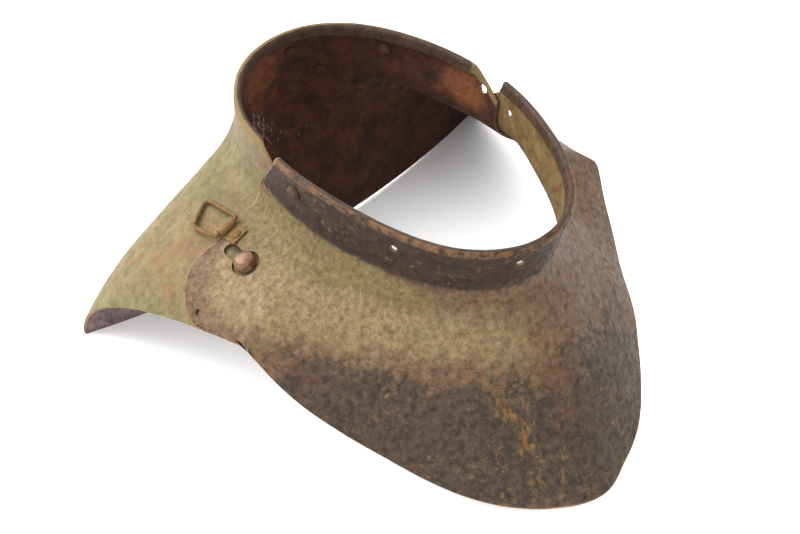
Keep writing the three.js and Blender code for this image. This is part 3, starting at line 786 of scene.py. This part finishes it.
class Finish:
    """A material's node tree, with short ways to add the nodes that the finishes here use."""

    def __init__(self, name, roughness, metallic, gloss=0.16):
        self.material = bpy.data.materials.new(name)
        self.material.diffuse_color = VIEWPORT_COLOUR
        self.material.use_nodes = True
        self.tree = self.material.node_tree
        self.surface = self.tree.nodes["Principled BSDF"]
        self.surface.inputs["Metallic"].default_value = metallic
        self.surface.inputs["Roughness"].default_value = roughness
        self.surface.inputs["Specular IOR Level"].default_value = gloss
        self.coords = self.tree.nodes.new("ShaderNodeTexCoord").outputs["Object"]

    def put(self, socket, value):
        if isinstance(value, bpy.types.NodeSocket):
            self.tree.links.new(value, socket)
        else:
            socket.default_value = value

    def add(self, kind, inputs):
        node = self.tree.nodes.new("ShaderNode" + kind)
        for name, value in inputs.items():
            self.put(node.inputs[name], value)
        return node

    def fact(self, name):
        """What is known of each place on the piece: an attribute that the piece carries."""
        node = self.add("Attribute", {})
        node.attribute_name = name
        return node.outputs["Fac"]

    def noise(self, size, detail=5.0, rough=0.6, warp=0.0):
        """Cloudy noise whose blotches are about this many millimetres across."""
        node = self.add("TexNoise", {
            "Vector": self.coords, "Scale": 1 / (size * MM), "Detail": detail, "Roughness": rough,
            "Distortion": warp,
        })
        return node.outputs["Fac"]

    def streaked(self, across, along):
        """Noise drawn out down the slope of the sheet, by these sizes in millimetres."""
        slope = self.add("CombineXYZ", {
            "X": self.combine("DIVIDE", self.fact("arc"), across),
            "Y": self.combine("DIVIDE", self.fact("down"), along),
        })
        node = self.add("TexNoise", {
            "Vector": slope.outputs[0], "Scale": 1.0, "Detail": COAT_DETAIL, "Roughness": 0.6,
        })
        return node.outputs["Fac"]

    def combine(self, operation, a, b):
        node = self.add("Math", {0: a, 1: b})
        node.operation = operation
        return node.outputs[0]

    def level(self, value, low, high, to_low=0.0, to_high=1.0):
        """Eases from one level to another while a value goes from low to high."""
        node = self.add("MapRange", {
            "Value": value, "From Min": low, "From Max": high, "To Min": to_low, "To Max": to_high,
        })
        node.interpolation_type = "SMOOTHSTEP"
        return node.outputs["Result"]

    def mix(self, share, a, b):
        """Colour a, covered by this share of colour b."""
        node = self.add("Mix", {})
        node.data_type = "RGBA"
        for socket, value in ((0, share), (6, a), (7, b)):
            self.put(node.inputs[socket], value)
        return node.outputs[2]

    def bump(self, height, depth):
        """Relief whose full height is this many millimetres."""
        node = self.add("Bump", {"Height": height, "Strength": 1.0, "Distance": depth * MM})
        self.put(self.surface.inputs["Normal"], node.outputs["Normal"])

    def done(self, colour, height, depth):
        """The finished material, with its colour and its relief."""
        self.put(self.surface.inputs["Base Color"], colour)
        self.bump(height, depth)
        return self.material


def coated(finish, ground, coats):
    """Lays broken coats over a ground colour and returns the colour and the height they add.

    A coat's mask is a fact of the piece, its grain the size of the noise that breaks it and its
    ragged how strongly; it covers where mask and noise together pass its edge."""
    colour, height = ground, None
    for coat in coats:
        if "along" in coat:
            speck = finish.streaked(coat["grain"], coat["along"])
        else:
            speck = finish.noise(coat["grain"], COAT_DETAIL, 0.7, 0.2)
        broken = finish.combine("MULTIPLY", finish.combine("SUBTRACT", speck, 0.5), coat["ragged"])
        mask = coat.get("mask", 0.0)
        if isinstance(mask, str):
            mask = finish.fact(mask)
        covers = finish.combine("ADD", mask, broken)
        soft = coat.get("soft", 0.12)
        share = finish.level(covers, coat["edge"] - soft, coat["edge"] + soft, 0.0, coat.get("most", 1.0))
        colour = finish.mix(share, colour, coat["colour"])
        raised = finish.combine("MULTIPLY", share, coat.get("height", 0.3))
        height = raised if height is None else finish.combine("ADD", height, raised)
    return colour, height


def worn_rim(finish, colour, bare, width, most, grain, low):
    """Lets bare steel show along the top of the rim, outside its fold and where noise breaks it."""
    rim = finish.level(finish.fact("down"), 0.3, width, most, 0.0)
    rim = finish.combine("MULTIPLY", rim, finish.level(finish.fact("leg"), 0.1, 0.5, 1.0, 0.0))
    rim = finish.combine("MULTIPLY", rim, finish.level(finish.noise(grain), low, low + 0.25))
    return finish.mix(rim, colour, bare)


def mottled(finish, size, first, second, low=0.34, high=0.66, detail=12.0):
    return finish.mix(finish.level(finish.noise(size, detail, 0.8, 0.15), low, high), first, second)


# Patches of paint, rust and dirt, and of painted shade: direction in degrees from the front, distance down
# from the rim and half sizes round the neck and down the sheet in millimetres
PATCH = "at down round along share"
FRONT_PATCHES = {
    "pale": named(
        PATCH,
        (-52, 52, 42, 16, 0.95),
        (-85, 64, 30, 24, 0.95),
        (-14, 46, 30, 14, 0.6),
        (-8, 60, 14, 14, 0.3),
        (48, 60, 9, 8, 0.5),
    ),
    "olive": named(
        PATCH,
        (-78, 38, 32, 13, 1.0),
        (-42, 33, 30, 7, 0.95),
        (-102, 44, 18, 18, 0.9),
    ),
    # Darker steel towards the lower front and the tip: partly the steel's own darker tone, partly painted
    # shade.
    "deep": named(
        PATCH,
        (-50, 92, 34, 18, 0.8),
        (-20, 98, 50, 28, 1.0),
        (14, 105, 40, 34, 0.9),
    ),
    "drip": named(
        PATCH,
        (-16, 73, 3, 5, 0.8),
        (-14, 81, 4, 6, 0.9),
        (-11, 89, 4, 8, 1.0),
        (-11, 97, 5, 3, 0.7),
        (-21, 82, 3, 4, 0.8),
        (7, 124, 6, 3, 0.9),
        (-88, 55, 8, 5, 0.6),
        (48, 60, 6, 7, 0.6),
    ),
    "red": named(
        PATCH,
        (-1, 71, 9, 7, 0.8),
        (-2, 88, 8, 7, 0.7),
        (-60, 84, 16, 6, 0.5),
        (-78, 62, 9, 4, 0.6),
        (30, 60, 26, 18, 0.45),
    ),
    "scratch": named(
        PATCH,
        (45, 64, 46, 34, 1.0),
        (0, 60, 30, 24, 0.4),
    ),
}
BACK_PATCHES = {
    # Painted shade: a dark patch on the back plate where it shows through the front plate's keyhole.
    "keyhole_shade": named(
        PATCH,
        (-98, 50, 9, 12, 1.2),
    ),
    "mauve": named(
        PATCH,
        (-122, 116, 40, 30, 2.0),
        (-108, 100, 16, 12, 0.7),
    ),
    "orange": named(
        PATCH,
        (-113, 80, 12, 14, 0.7),
        (-116, 60, 12, 10, 0.6),
        (-104, 92, 10, 8, 0.7),
        (-120, 100, 10, 14, 0.6),
        (-98, 48, 7, 6, 0.8),
        (140, 80, 26, 18, 0.6),
        (178, 70, 30, 14, 0.5),
    ),
    "bruise": named(
        PATCH,
        (-106, 8, 16, 7, 0.9),
        (-122, 40, 12, 12, 0.35),
        (-110, 72, 12, 8, 0.5),
        (120, 14, 26, 12, 0.6),
    ),
    "dust": named(
        PATCH,
        (-168, 48, 13, 14, 0.9),
        (178, 60, 14, 14, 0.55),
        (-124, 116, 12, 12, 1.0),
    ),
    "glow": named(
        PATCH,
        (-172, 22, 16, 20, 0.8),
        (146, 60, 40, 26, 0.35),
        (112, 12, 16, 12, 1.0),
    ),
}


ARC_RADIUS = 90.0  # streaks are measured round the neck at this distance


def store_facts(piece, samples, facts, patches):
    """Gives each vertex what is known of its place on the sheet, for the finishes."""
    tree = kdtree.KDTree(len(samples))
    for index, point in enumerate(samples):
        tree.insert(Vector(point), index)
    tree.balance()
    nearest = [tree.find(vert.co)[1] for vert in piece.data.vertices]
    known = {name: values[nearest] for name, values in facts.items()}
    co = np.array([vert.co for vert in piece.data.vertices]) / MM - NECK
    reach = np.hypot(co[:, 0], co[:, 1])
    around = np.degrees(azimuth(co))
    known["arc"] = np.radians(around) * ARC_RADIUS
    for kind, places in patches.items():
        shares = [spot["share"] * bell(around, reach, known["down"], spot) for spot in places]
        known[kind] = np.sum(shares, axis=0)
    for name, values in known.items():
        layer = piece.data.attributes.new(name, "FLOAT", "POINT")
        layer.data.foreach_set("value", np.asarray(values, np.float32))


def front_outside():
    """Dark grey-brown steel, pale and olive paint left below the collar, a brown-black collar."""
    finish = Finish("front_paint", 0.62, 0.0)
    ground = mottled(finish, 3.2, tint(74, 55, 41), tint(138, 106, 76))
    clusters = finish.level(finish.noise(13.0), 0.42, 0.66, 0.0, 0.3)
    colour, height = coated(finish, ground, [
        # This coat darkens the lower front: partly the steel's own darker tone, partly painted shade.
        {"colour": mottled(finish, 3.2, tint(44, 35, 29), tint(98, 80, 62)), "mask": "deep",
         "grain": 9.0, "ragged": 2.2, "edge": 0.42, "soft": 0.22, "height": -0.1},
        {"colour": mottled(finish, 2.6, tint(110, 90, 62), tint(172, 148, 108)), "mask": "pale",
         "grain": 7.0, "ragged": 1.8, "edge": 0.5, "soft": 0.3, "most": 0.92},
        {"colour": mottled(finish, 2.6, tint(96, 80, 46), tint(146, 128, 84)), "mask": "olive",
         "grain": 8.0, "ragged": 1.3, "edge": 0.5, "soft": 0.26, "most": 0.95},
        {"colour": mottled(finish, 5.0, tint(36, 26, 20), tint(74, 53, 40)),
         "mask": finish.level(finish.fact("down"), 21.0, 30.0, 1.0, 0.0),
         "grain": 6.0, "ragged": 1.2, "edge": 0.5, "soft": 0.3, "height": 0.0},
        {"colour": tint(168, 128, 72), "mask": clusters, "grain": 2.2, "ragged": 2.4, "edge": 0.46,
         "soft": 0.2, "most": 0.5, "height": 0.25},
        {"colour": tint(120, 72, 46), "mask": "red", "grain": 2.4, "ragged": 3.2, "edge": 0.62,
         "soft": 0.4, "most": 0.6},
        {"colour": mottled(finish, 2.0, tint(140, 92, 44), tint(184, 132, 66)), "mask": "drip",
         "grain": 1.6, "along": 5.0, "ragged": 3.6, "edge": 0.9, "soft": 0.4, "most": 0.7,
         "height": 0.5},
        {"colour": tint(154, 124, 96), "mask": "scratch", "grain": 0.8, "along": 16.0, "ragged": 2.2,
         "edge": 1.1, "soft": 0.22, "most": 0.5, "height": -0.2},
        {"colour": tint(36, 29, 24), "grain": 1.0, "ragged": 2.2, "edge": 0.36, "soft": 0.16,
         "most": 0.6, "height": -0.6},
        {"colour": mottled(finish, 5.0, tint(52, 38, 28), tint(96, 70, 48)), "mask": "leg",
         "grain": 3.0, "ragged": 0.6, "edge": 0.5, "soft": 0.2, "height": 0.0},
    ])
    colour = worn_rim(finish, colour, tint(138, 100, 66), width=1.6, most=0.75, grain=4.0, low=0.35)
    # A lighter tan line along the plate's edges: partly bare worn edge, partly painted highlight.
    worn_and_lit_edge = finish.level(finish.fact("edge"), 0.3, 1.0, 0.7, 0.0)
    worn_and_lit_edge = finish.combine("MULTIPLY", worn_and_lit_edge, finish.level(finish.noise(9.0), 0.4, 0.55, 0.15, 1.0))
    colour = finish.mix(worn_and_lit_edge, colour, tint(178, 142, 98))
    fine = finish.combine("MULTIPLY", finish.noise(1.1, 5.0, 0.65), 0.9)
    finish.put(finish.surface.inputs["Roughness"], finish.level(finish.noise(3.0), 0.3, 0.7, 0.5, 0.8))
    return finish.done(colour, finish.combine("ADD", height, fine), 0.24)


def back_outside():
    """Old khaki olive paint with dark specks, orange rust and a purple-brown bruise by the seam."""
    finish = Finish("back_paint", 0.72, 0.0)
    broad = mottled(finish, 24.0, tint(130, 117, 80), tint(148, 132, 92), 0.3, 0.7, 3.0)
    dirt = finish.level(finish.noise(4.5, 10.0, 0.78), 0.42, 0.62, 0.0, 0.7)
    ground = finish.mix(dirt, broad, tint(100, 86, 52))
    colour, height = coated(finish, ground, [
        {"colour": mottled(finish, 5.0, tint(112, 104, 80), tint(142, 131, 102)), "grain": 15.0,
         "ragged": 1.6, "edge": 0.22, "soft": 0.18, "most": 0.6},
        {"colour": tint(132, 98, 76), "mask": "bruise", "grain": 3.5, "ragged": 1.5, "edge": 0.5,
         "soft": 0.35, "most": 0.8},
        # Painted shade: darkens the back plate where it shows through the keyhole.
        {"colour": tint(70, 60, 40), "mask": "keyhole_shade", "grain": 2.0, "ragged": 0.6, "edge": 0.5,
         "soft": 0.25, "most": 0.9},
        {"colour": tint(158, 108, 58), "mask": "orange", "grain": 2.4, "along": 8.0, "ragged": 3.0,
         "edge": 0.7, "soft": 0.4, "most": 0.6},
        {"colour": tint(150, 98, 52), "grain": 3.0, "ragged": 2.2, "edge": 0.36, "soft": 0.2, "most": 0.55},
        {"colour": tint(60, 48, 30), "grain": 1.0, "along": 3.4, "ragged": 2.4, "edge": 0.4, "soft": 0.12,
         "most": 0.85, "height": -0.7},
        {"colour": tint(66, 52, 34), "grain": 1.3, "ragged": 2.4, "edge": 0.38, "soft": 0.12,
         "most": 0.7, "height": -0.6},
        {"colour": mottled(finish, 5.0, tint(52, 36, 28), tint(92, 66, 46)), "mask": "leg",
         "grain": 3.0, "ragged": 0.6, "edge": 0.5, "soft": 0.2, "height": 0.0},
    ])
    colour = worn_rim(finish, colour, tint(138, 106, 64), width=1.8, most=0.8, grain=5.0, low=0.3)
    fine = finish.combine("MULTIPLY", finish.noise(1.3, 5.0, 0.65), 0.8)
    return finish.done(colour, finish.combine("ADD", height, fine), 0.22)


def back_inside():
    """Very dark red-brown rust, with pale dust and a warmer patch near the rim."""
    finish = Finish("back_inside", 0.85, 0.0)
    ground = mottled(finish, 9.0, tint(44, 25, 18), tint(92, 48, 30))
    colour, height = coated(finish, ground, [
        {"colour": mottled(finish, 3.0, tint(112, 60, 36), tint(150, 92, 54)), "mask": "glow",
         "grain": 8.0, "ragged": 1.6, "edge": 0.52, "soft": 0.3, "most": 0.85},
        {"colour": tint(104, 50, 30), "grain": 14.0, "ragged": 2.4, "edge": 0.3, "soft": 0.25, "most": 0.6},
        {"colour": mottled(finish, 4.0, tint(120, 98, 96), tint(186, 164, 162)), "mask": "mauve",
         "grain": 6.0, "ragged": 1.6, "edge": 0.5, "soft": 0.3, "most": 0.9},
        {"colour": tint(24, 17, 15), "grain": 1.4, "ragged": 2.2, "edge": 0.32, "soft": 0.15,
         "most": 0.8, "height": -0.6},
        {"colour": tint(168, 152, 150), "mask": "dust", "grain": 1.3, "along": 3.0, "ragged": 2.6,
         "edge": 0.95, "soft": 0.2, "most": 0.75, "height": 0.3},
    ])
    return finish.done(colour, height, 0.3)


def front_inside():
    """Ochre and olive dirt over orange rust."""
    finish = Finish("front_inside", 0.85, 0.0)
    ground = mottled(finish, 5.0, tint(96, 74, 44), tint(148, 122, 74))
    colour, height = coated(finish, ground, [
        {"colour": tint(150, 92, 48), "grain": 7.0, "ragged": 2.0, "edge": 0.22, "soft": 0.2, "most": 0.7},
        {"colour": tint(48, 34, 26), "grain": 1.6, "ragged": 2.2, "edge": 0.36, "soft": 0.15,
         "most": 0.8, "height": -0.6},
    ])
    return finish.done(colour, height, 0.3)


def sheet_edge():
    """Where the sheet was cut: dark rust mottled with a lighter brown that is partly wear and partly
    painted highlight.
    """
    finish = Finish("sheet_edge", 0.7, 0.3)
    # The lighter brown is partly worn steel and partly painted highlight on the cut edges.
    colour = mottled(finish, 2.5, tint(104, 78, 52), tint(184, 148, 102))
    return finish.done(colour, finish.noise(0.8, 5.0, 0.65), 0.15)


RUST_GRAIN = 1.6


def rusty(name, dark, light, metallic=0.2):
    """Two browns of old rust with darker pits, for the small iron pieces."""
    finish = Finish(name, 0.8, metallic)
    ground = mottled(finish, RUST_GRAIN * 2, dark, light)
    colour, height = coated(finish, ground, [
        {"colour": tint(52, 36, 24), "grain": RUST_GRAIN * 0.6, "ragged": 2.0, "edge": 0.32, "soft": 0.15,
         "most": 0.7, "height": -0.5},
    ])
    return finish.done(colour, height, 0.2)


def copper_stud():
    """The stud's brown metal, with darker stains in its hollows."""
    finish = Finish("copper_stud", 0.42, 0.3, 0.5)
    ground = mottled(finish, 6.0, tint(108, 70, 40), tint(156, 108, 66))
    colour, height = coated(finish, ground, [
        {"colour": tint(84, 50, 34), "grain": 2.2, "ragged": 1.6, "edge": 0.34, "soft": 0.2, "most": 0.6,
         "height": -0.4},
    ])
    return finish.done(colour, finish.combine("ADD", height, finish.noise(0.7, 4.0, 0.6)), 0.15)


# Outline of a pin's peened end: shares of its radius, and millimetres below the sheet
FOOT = [(0, 1), (0.55, 0.95), (0.88, 0.6), (1, 0.2), (1, 0)]
SEAT_SAG = 0.15  # more air under a peened end, because the sheet curves towards it
HEAD_STEP = 0.18  # share of its rise by which a head stands straight before it rounds over
HEAD_FLAT = 0.25  # share of its radius that is flat on top
KNOCK = {"waves": 0.45, "seed": 3.1, "above": 0.2, "down": 0.7}  # hammer marks on heads and ends


def turned(mesh, profile, steps):
    """Spins a profile of radius and height, bottom first, about Z."""
    verts = [mesh.verts.new((max(radius, 1e-4), 0, height)) for radius, height in profile]
    edges = [mesh.edges.new(pair) for pair in zip(verts, verts[1:])]
    bmesh.ops.spin(
        mesh, geom=verts + edges, cent=(0, 0, 0), axis=(0, 0, 1), angle=2 * math.pi,
        steps=steps, use_merge=True, use_duplicate=False,
    )
    bmesh.ops.remove_doubles(mesh, verts=mesh.verts, dist=0.01)
    bmesh.ops.recalc_face_normals(mesh, faces=mesh.faces)


def dome(radius, base, rise, steps):
    """Outline of a hammered head from its seat to its flat top."""
    points = [(radius, base), (radius, base + rise * HEAD_STEP)]
    for k in range(1, steps + 1):
        turn = math.radians(90) * k / steps
        height = base + rise * lerp(HEAD_STEP, 1, math.sin(turn))
        points.append((lerp(radius * HEAD_FLAT, radius, math.cos(turn)), height))
    return points


def rivet(name, place, shape, low, high, sides, knock, steps=5):
    """A pin through the sheet with a peened end inside and a hammered head outside."""
    mesh = bmesh.new()
    under = low - FIT_GAP - SEAT_SAG
    over = high + FIT_GAP
    profile = [(shape["end"] * share, under - deep) for share, deep in FOOT]
    profile += [(shape["shank"], under), (shape["shank"], over)]
    profile += dome(shape["head"], over, shape["rise"], steps)
    profile += [(0, over + shape["rise"])]
    turned(mesh, profile, sides)
    for vert in mesh.verts:
        if vert.co.z > over + KNOCK["above"] or vert.co.z < under:
            jolt = noise.noise_vector(vert.co * KNOCK["waves"] + Vector((len(name), KNOCK["seed"], 0)))
            vert.co += Vector((jolt.x, jolt.y, jolt.z * KNOCK["down"])) * knock
            vert.co.z = min(vert.co.z, over + shape["rise"])
    mesh.transform(frame_on(place, down_slope(place)))
    piece = object_from(name, mesh)
    smooth(piece, 28)
    return piece


def copy_of(name, node):
    """A CAD node's shape as a mesh of joined faces, to be worked on."""
    mesh = bmesh.new()
    mesh.from_mesh(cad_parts[node].data)
    bmesh.ops.remove_doubles(mesh, verts=mesh.verts, dist=0.01 * MM)
    bmesh.ops.dissolve_limit(mesh, angle_limit=math.radians(2), verts=mesh.verts, edges=mesh.edges)
    return object_from(name, mesh)


def pitted(piece, depth, size, seed):
    """Roughens a small piece with rust pits, along its normals."""
    for vert in piece.data.vertices:
        spot = vert.co / (size * MM) + Vector((seed, 0, 0))
        vert.co += vert.normal * (depth * MM * (noise.noise(spot) + 0.5 * noise.noise(spot * 2.3)))


# What a user would change
class GorgetSizes(bpy.types.PropertyGroup):
    rounding: bpy.props.FloatProperty(
        name="Edge rounding", description="How far the sheet's cut edges are rounded",
        default=0.3 * MM, min=0.05 * MM, max=0.6 * MM, unit="LENGTH", precision=5,
    )
    floor_size: bpy.props.FloatProperty(
        name="Floor", description="Width of the pale floor", default=4.0, min=1.0, unit="LENGTH",
    )
    focal_length: bpy.props.FloatProperty(
        name="Lens", description="Focal length of the camera in millimetres", default=92.07, min=20.0,
    )
    key_light: bpy.props.FloatProperty(
        name="Key light", description="Power of the soft light from the upper left", default=34.0,
        min=0.0, unit="POWER",
    )
    room_light: bpy.props.FloatProperty(
        name="Room light", description="Strength of the even light from all round", default=2.15, min=0.0,
    )


class GorgetColours(bpy.types.PropertyGroup):
    floor: bpy.props.FloatVectorProperty(
        name="Floor", description="Colour of the floor", subtype="COLOR", size=4,
        default=(0.96, 0.96, 0.965, 1.0), min=0.0, max=1.0,
    )
    room: bpy.props.FloatVectorProperty(
        name="Room", description="Colour of the light from all round", subtype="COLOR", size=4,
        default=(1.0, 1.0, 1.0, 1.0), min=0.0, max=1.0,
    )


class GORGET_OT_front_plate(bpy.types.Operator):
    """Build the pointed front plate with its collar, its shoulder tabs and their holes"""

    bl_idname = "gorget.front_plate"
    bl_label = "Front plate"

    def execute(self, context):
        piece, samples, facts = plate_sheet("front_sheet", front_grid(), FRONT_LIFT)
        cutters = [
            bore("key_round", STUD_PLACE, STUD["head"] + KEY_AIR, 48, towards=(0, 1, 0)),
            key_slot(),
            bore("key_end", STUD_PLACE, SLOT_HALF, 36, shift=(SLOT_RUN, 0), towards=(0, 1, 0)),
            bore("pivot_hole", PIVOT_PLACE, PIVOT["shank"] + FIT_GAP),
            bore("tab_hole", TAB_HOLE_PLACE, TAB_HOLE["radius"], ragged=RAGGED),
        ]
        cutters += rivet_holes(FRONT_RIVETS) + open_holes("front_hole", FRONT_HOLES, RUSTED_OPEN)
        finishes = [front_outside(), front_inside(), sheet_edge()]
        cut_and_thicken(piece, cutters, finishes, context.scene.gorget_sizes.rounding)
        store_facts(piece, samples, facts, FRONT_PATCHES)
        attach(piece, "gorget")
        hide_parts("front_plate")
        return {"FINISHED"}


class GORGET_OT_back_plate(bpy.types.Operator):
    """Build the back plate with its two corners and its collar"""

    bl_idname = "gorget.back_plate"
    bl_label = "Back plate"

    def execute(self, context):
        piece, samples, facts = plate_sheet("back_sheet", back_grid(), 0.0)
        cutters = [
            bore("stud_hole", STUD_PLACE, STUD["shank"] + FIT_GAP),
            bore("pivot_hole", PIVOT_PLACE, PIVOT["shank"] + FIT_GAP),
            bore("tab_hole", TAB_HOLE_PLACE, TAB_HOLE["radius"], ragged=RAGGED),
        ]
        cutters += rivet_holes(BACK_RIVETS) + open_holes("back_hole", BACK_HOLES, 0.0)
        finishes = [back_outside(), back_inside(), sheet_edge()]
        cut_and_thicken(piece, cutters, finishes, context.scene.gorget_sizes.rounding)
        store_facts(piece, samples, facts, BACK_PATCHES)
        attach(piece, "gorget")
        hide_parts("back_plate")
        return {"FINISHED"}


class GORGET_OT_pins(bpy.types.Operator):
    """Build the closing stud, the hidden pivot and the rivets of both collars"""

    bl_idname = "gorget.pins"
    bl_label = "Stud and rivets"

    def execute(self, context):
        copper = copper_stud()
        iron = rusty("rivet_iron", tint(70, 50, 36), tint(112, 82, 60))
        dark_iron = rusty("rivet_dark", tint(48, 30, 22), tint(104, 66, 44))
        under, over = -SHEET / 2, FRONT_LIFT + SHEET / 2
        stud = rivet("stud", STUD_PLACE, STUD_WORN, under, over, 8, 1.2, steps=3)
        stud.data.materials.append(copper)
        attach(stud, "gorget")
        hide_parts("closing_stud")
        pivot = rivet("pivot", PIVOT_PLACE, PIVOT, under, over, 24, 0.15)
        self.finish(pivot, iron, "pivot_rivet")
        for spot in FRONT_RIVETS + BACK_RIVETS:
            front = spot in FRONT_RIVETS
            low = FRONT_LIFT - SHEET / 2 - HEM_FOLD if front else -SHEET / 2
            high = FRONT_LIFT + SHEET / 2 if front else SHEET / 2
            place = on_collar(spot["at"], spot["drop"])
            piece = rivet(spot["name"] + "_pin", place, COLLAR_RIVET, low, high, 24, 0.2)
            self.finish(piece, iron if front else dark_iron, spot["name"])
        return {"FINISHED"}

    def finish(self, piece, material, node):
        piece.data.materials.append(material)
        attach(piece, "gorget")
        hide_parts(node)


class GORGET_OT_loop(bpy.types.Operator):
    """Build the strap loop, the folded strip that holds it and the strip's rivet"""

    bl_idname = "gorget.loop"
    bl_label = "Strap loop"

    def execute(self, context):
        loop = copy_of("strap_loop", "buckle_frame")
        soft = loop.modifiers.new("rounding", "SUBSURF")
        soft.levels = soft.render_levels = 2
        baked(loop)
        pitted(loop, 0.1, 1.6, 4.0)
        loop.data.materials.append(rusty("loop_rust", tint(104, 74, 44), tint(150, 118, 74)))
        smooth(loop, 60)
        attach(loop, "buckle")
        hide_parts("buckle_frame")
        strip = copy_of("loop_strip", "buckle_hanger")
        round_edges(strip, STRIP_ROUNDING)
        strip.data.materials.append(rusty("strip_paint", tint(122, 96, 56), tint(150, 118, 70), 0.0))
        smooth(strip, 35)
        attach(strip, "gorget")
        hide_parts("buckle_hanger")
        pin = copy_of("strip_pin", "hanger_rivet")
        pin.data.materials.append(rusty("pin_rust", tint(118, 84, 48), tint(150, 112, 66)))
        smooth(pin, 25)
        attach(pin, "gorget")
        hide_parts("hanger_rivet")
        return {"FINISHED"}


# Camera: direction from the floor's middle, roll and distance, fitted to the photograph's outlines
CAMERA_AZIMUTH = math.radians(-35.38)
CAMERA_ELEVATION = math.radians(41.2)
CAMERA_ROLL = math.radians(-1.7)
CAMERA_DISTANCE = 925.9 * MM
CAMERA_TARGET = Vector((0.15, 18.36, 30.09)) * MM
KEY_TOWARDS = {"up": 0.8, "left": 0.7, "back": 0.4}  # as the camera sees it
KEY_AWAY = 1.2
KEY_WIDTH = 1.4


def camera_frame():
    """The camera's right, up and backward directions."""
    a, e, roll = CAMERA_AZIMUTH, CAMERA_ELEVATION, CAMERA_ROLL
    back = Vector((math.sin(a) * math.cos(e), -math.cos(a) * math.cos(e), math.sin(e)))
    right = Vector((math.cos(a), math.sin(a), 0))
    up = back.cross(right)
    rolled_right = right * math.cos(roll) + up * math.sin(roll)
    rolled_up = up * math.cos(roll) - right * math.sin(roll)
    return rolled_right, rolled_up, back


class GORGET_OT_stage(bpy.types.Operator):
    """Set up the pale floor, the soft lights and the camera"""

    bl_idname = "gorget.stage"
    bl_label = "Stage"

    def execute(self, context):
        sizes, colours = context.scene.gorget_sizes, context.scene.gorget_colours
        right, up, back = camera_frame()
        self.floor(sizes.floor_size, colours.floor)
        self.camera(sizes.focal_length, right, up, back)
        self.lights(sizes, colours.room, right, up, back)
        context.scene.view_settings.view_transform = "Standard"
        return {"FINISHED"}

    def floor(self, size, colour):
        mesh = bmesh.new()
        bmesh.ops.create_grid(mesh, x_segments=1, y_segments=1, size=size / 2)
        floor = object_from("floor", mesh)
        finish = Finish("floor_card", 0.9, 0.0)
        share = finish.level(finish.noise(300.0), 0.3, 0.7, 0.0, 0.15)
        paler = tuple(0.97 * value for value in colour[:3]) + (1.0,)
        finish.put(finish.surface.inputs["Base Color"], finish.mix(share, tuple(colour), paler))
        floor.data.materials.append(finish.material)

    def camera(self, focal_length, right, up, back):
        data = bpy.data.cameras.new("camera")
        data.lens = focal_length
        data.sensor_width = 36.0
        camera = bpy.data.objects.new("camera", data)
        turn = Matrix((right, up, back)).transposed().to_4x4()
        camera.matrix_world = Matrix.Translation(CAMERA_TARGET + back * CAMERA_DISTANCE) @ turn
        bpy.context.scene.collection.objects.link(camera)
        bpy.context.scene.camera = camera

    def lights(self, sizes, room, right, up, back):
        world = bpy.data.worlds.new("room")
        bpy.context.scene.world = world
        world.use_nodes = True
        sky = world.node_tree.nodes["Background"]
        sky.inputs["Color"].default_value = tuple(room)
        sky.inputs["Strength"].default_value = sizes.room_light
        data = bpy.data.lights.new("key", "AREA")
        data.shape = "DISK"
        data.size = KEY_WIDTH
        data.energy = sizes.key_light
        key = bpy.data.objects.new("key", data)
        towards = up * KEY_TOWARDS["up"] - right * KEY_TOWARDS["left"] + back * KEY_TOWARDS["back"]
        towards.normalize()
        key.location = towards * KEY_AWAY
        key.rotation_mode = "QUATERNION"
        key.rotation_quaternion = towards.to_track_quat("Z", "Y")
        bpy.context.scene.collection.objects.link(key)


class GORGET_PT_builder(bpy.types.Panel):
    """Buttons for the gorget's pieces and its stage"""

    bl_label = "Steel Gorget"
    bl_idname = "GORGET_PT_builder"
    bl_space_type = "VIEW_3D"
    bl_region_type = "UI"
    bl_category = "Gorget"

    def draw(self, context):
        layout = self.layout
        for group in (context.scene.gorget_sizes, context.scene.gorget_colours):
            for name in group.__annotations__:
                layout.prop(group, name)
        for operator in OPERATORS:
            layout.operator(operator.bl_idname)


OPERATORS = (
    GORGET_OT_front_plate,
    GORGET_OT_back_plate,
    GORGET_OT_pins,
    GORGET_OT_loop,
    GORGET_OT_stage,
)
CLASSES = (GorgetSizes, GorgetColours, *OPERATORS, GORGET_PT_builder)


def register():
    for cls in CLASSES:
        bpy.utils.register_class(cls)
    bpy.types.Scene.gorget_sizes = bpy.props.PointerProperty(type=GorgetSizes)
    bpy.types.Scene.gorget_colours = bpy.props.PointerProperty(type=GorgetColours)


def unregister():
    del bpy.types.Scene.gorget_colours
    del bpy.types.Scene.gorget_sizes
    for cls in reversed(CLASSES):
        bpy.utils.unregister_class(cls)


def main():
    register()
    for name in ("front_plate", "back_plate", "pins", "loop", "stage"):
        getattr(bpy.ops.gorget, name)()


if __name__ == "__main__":
    main()
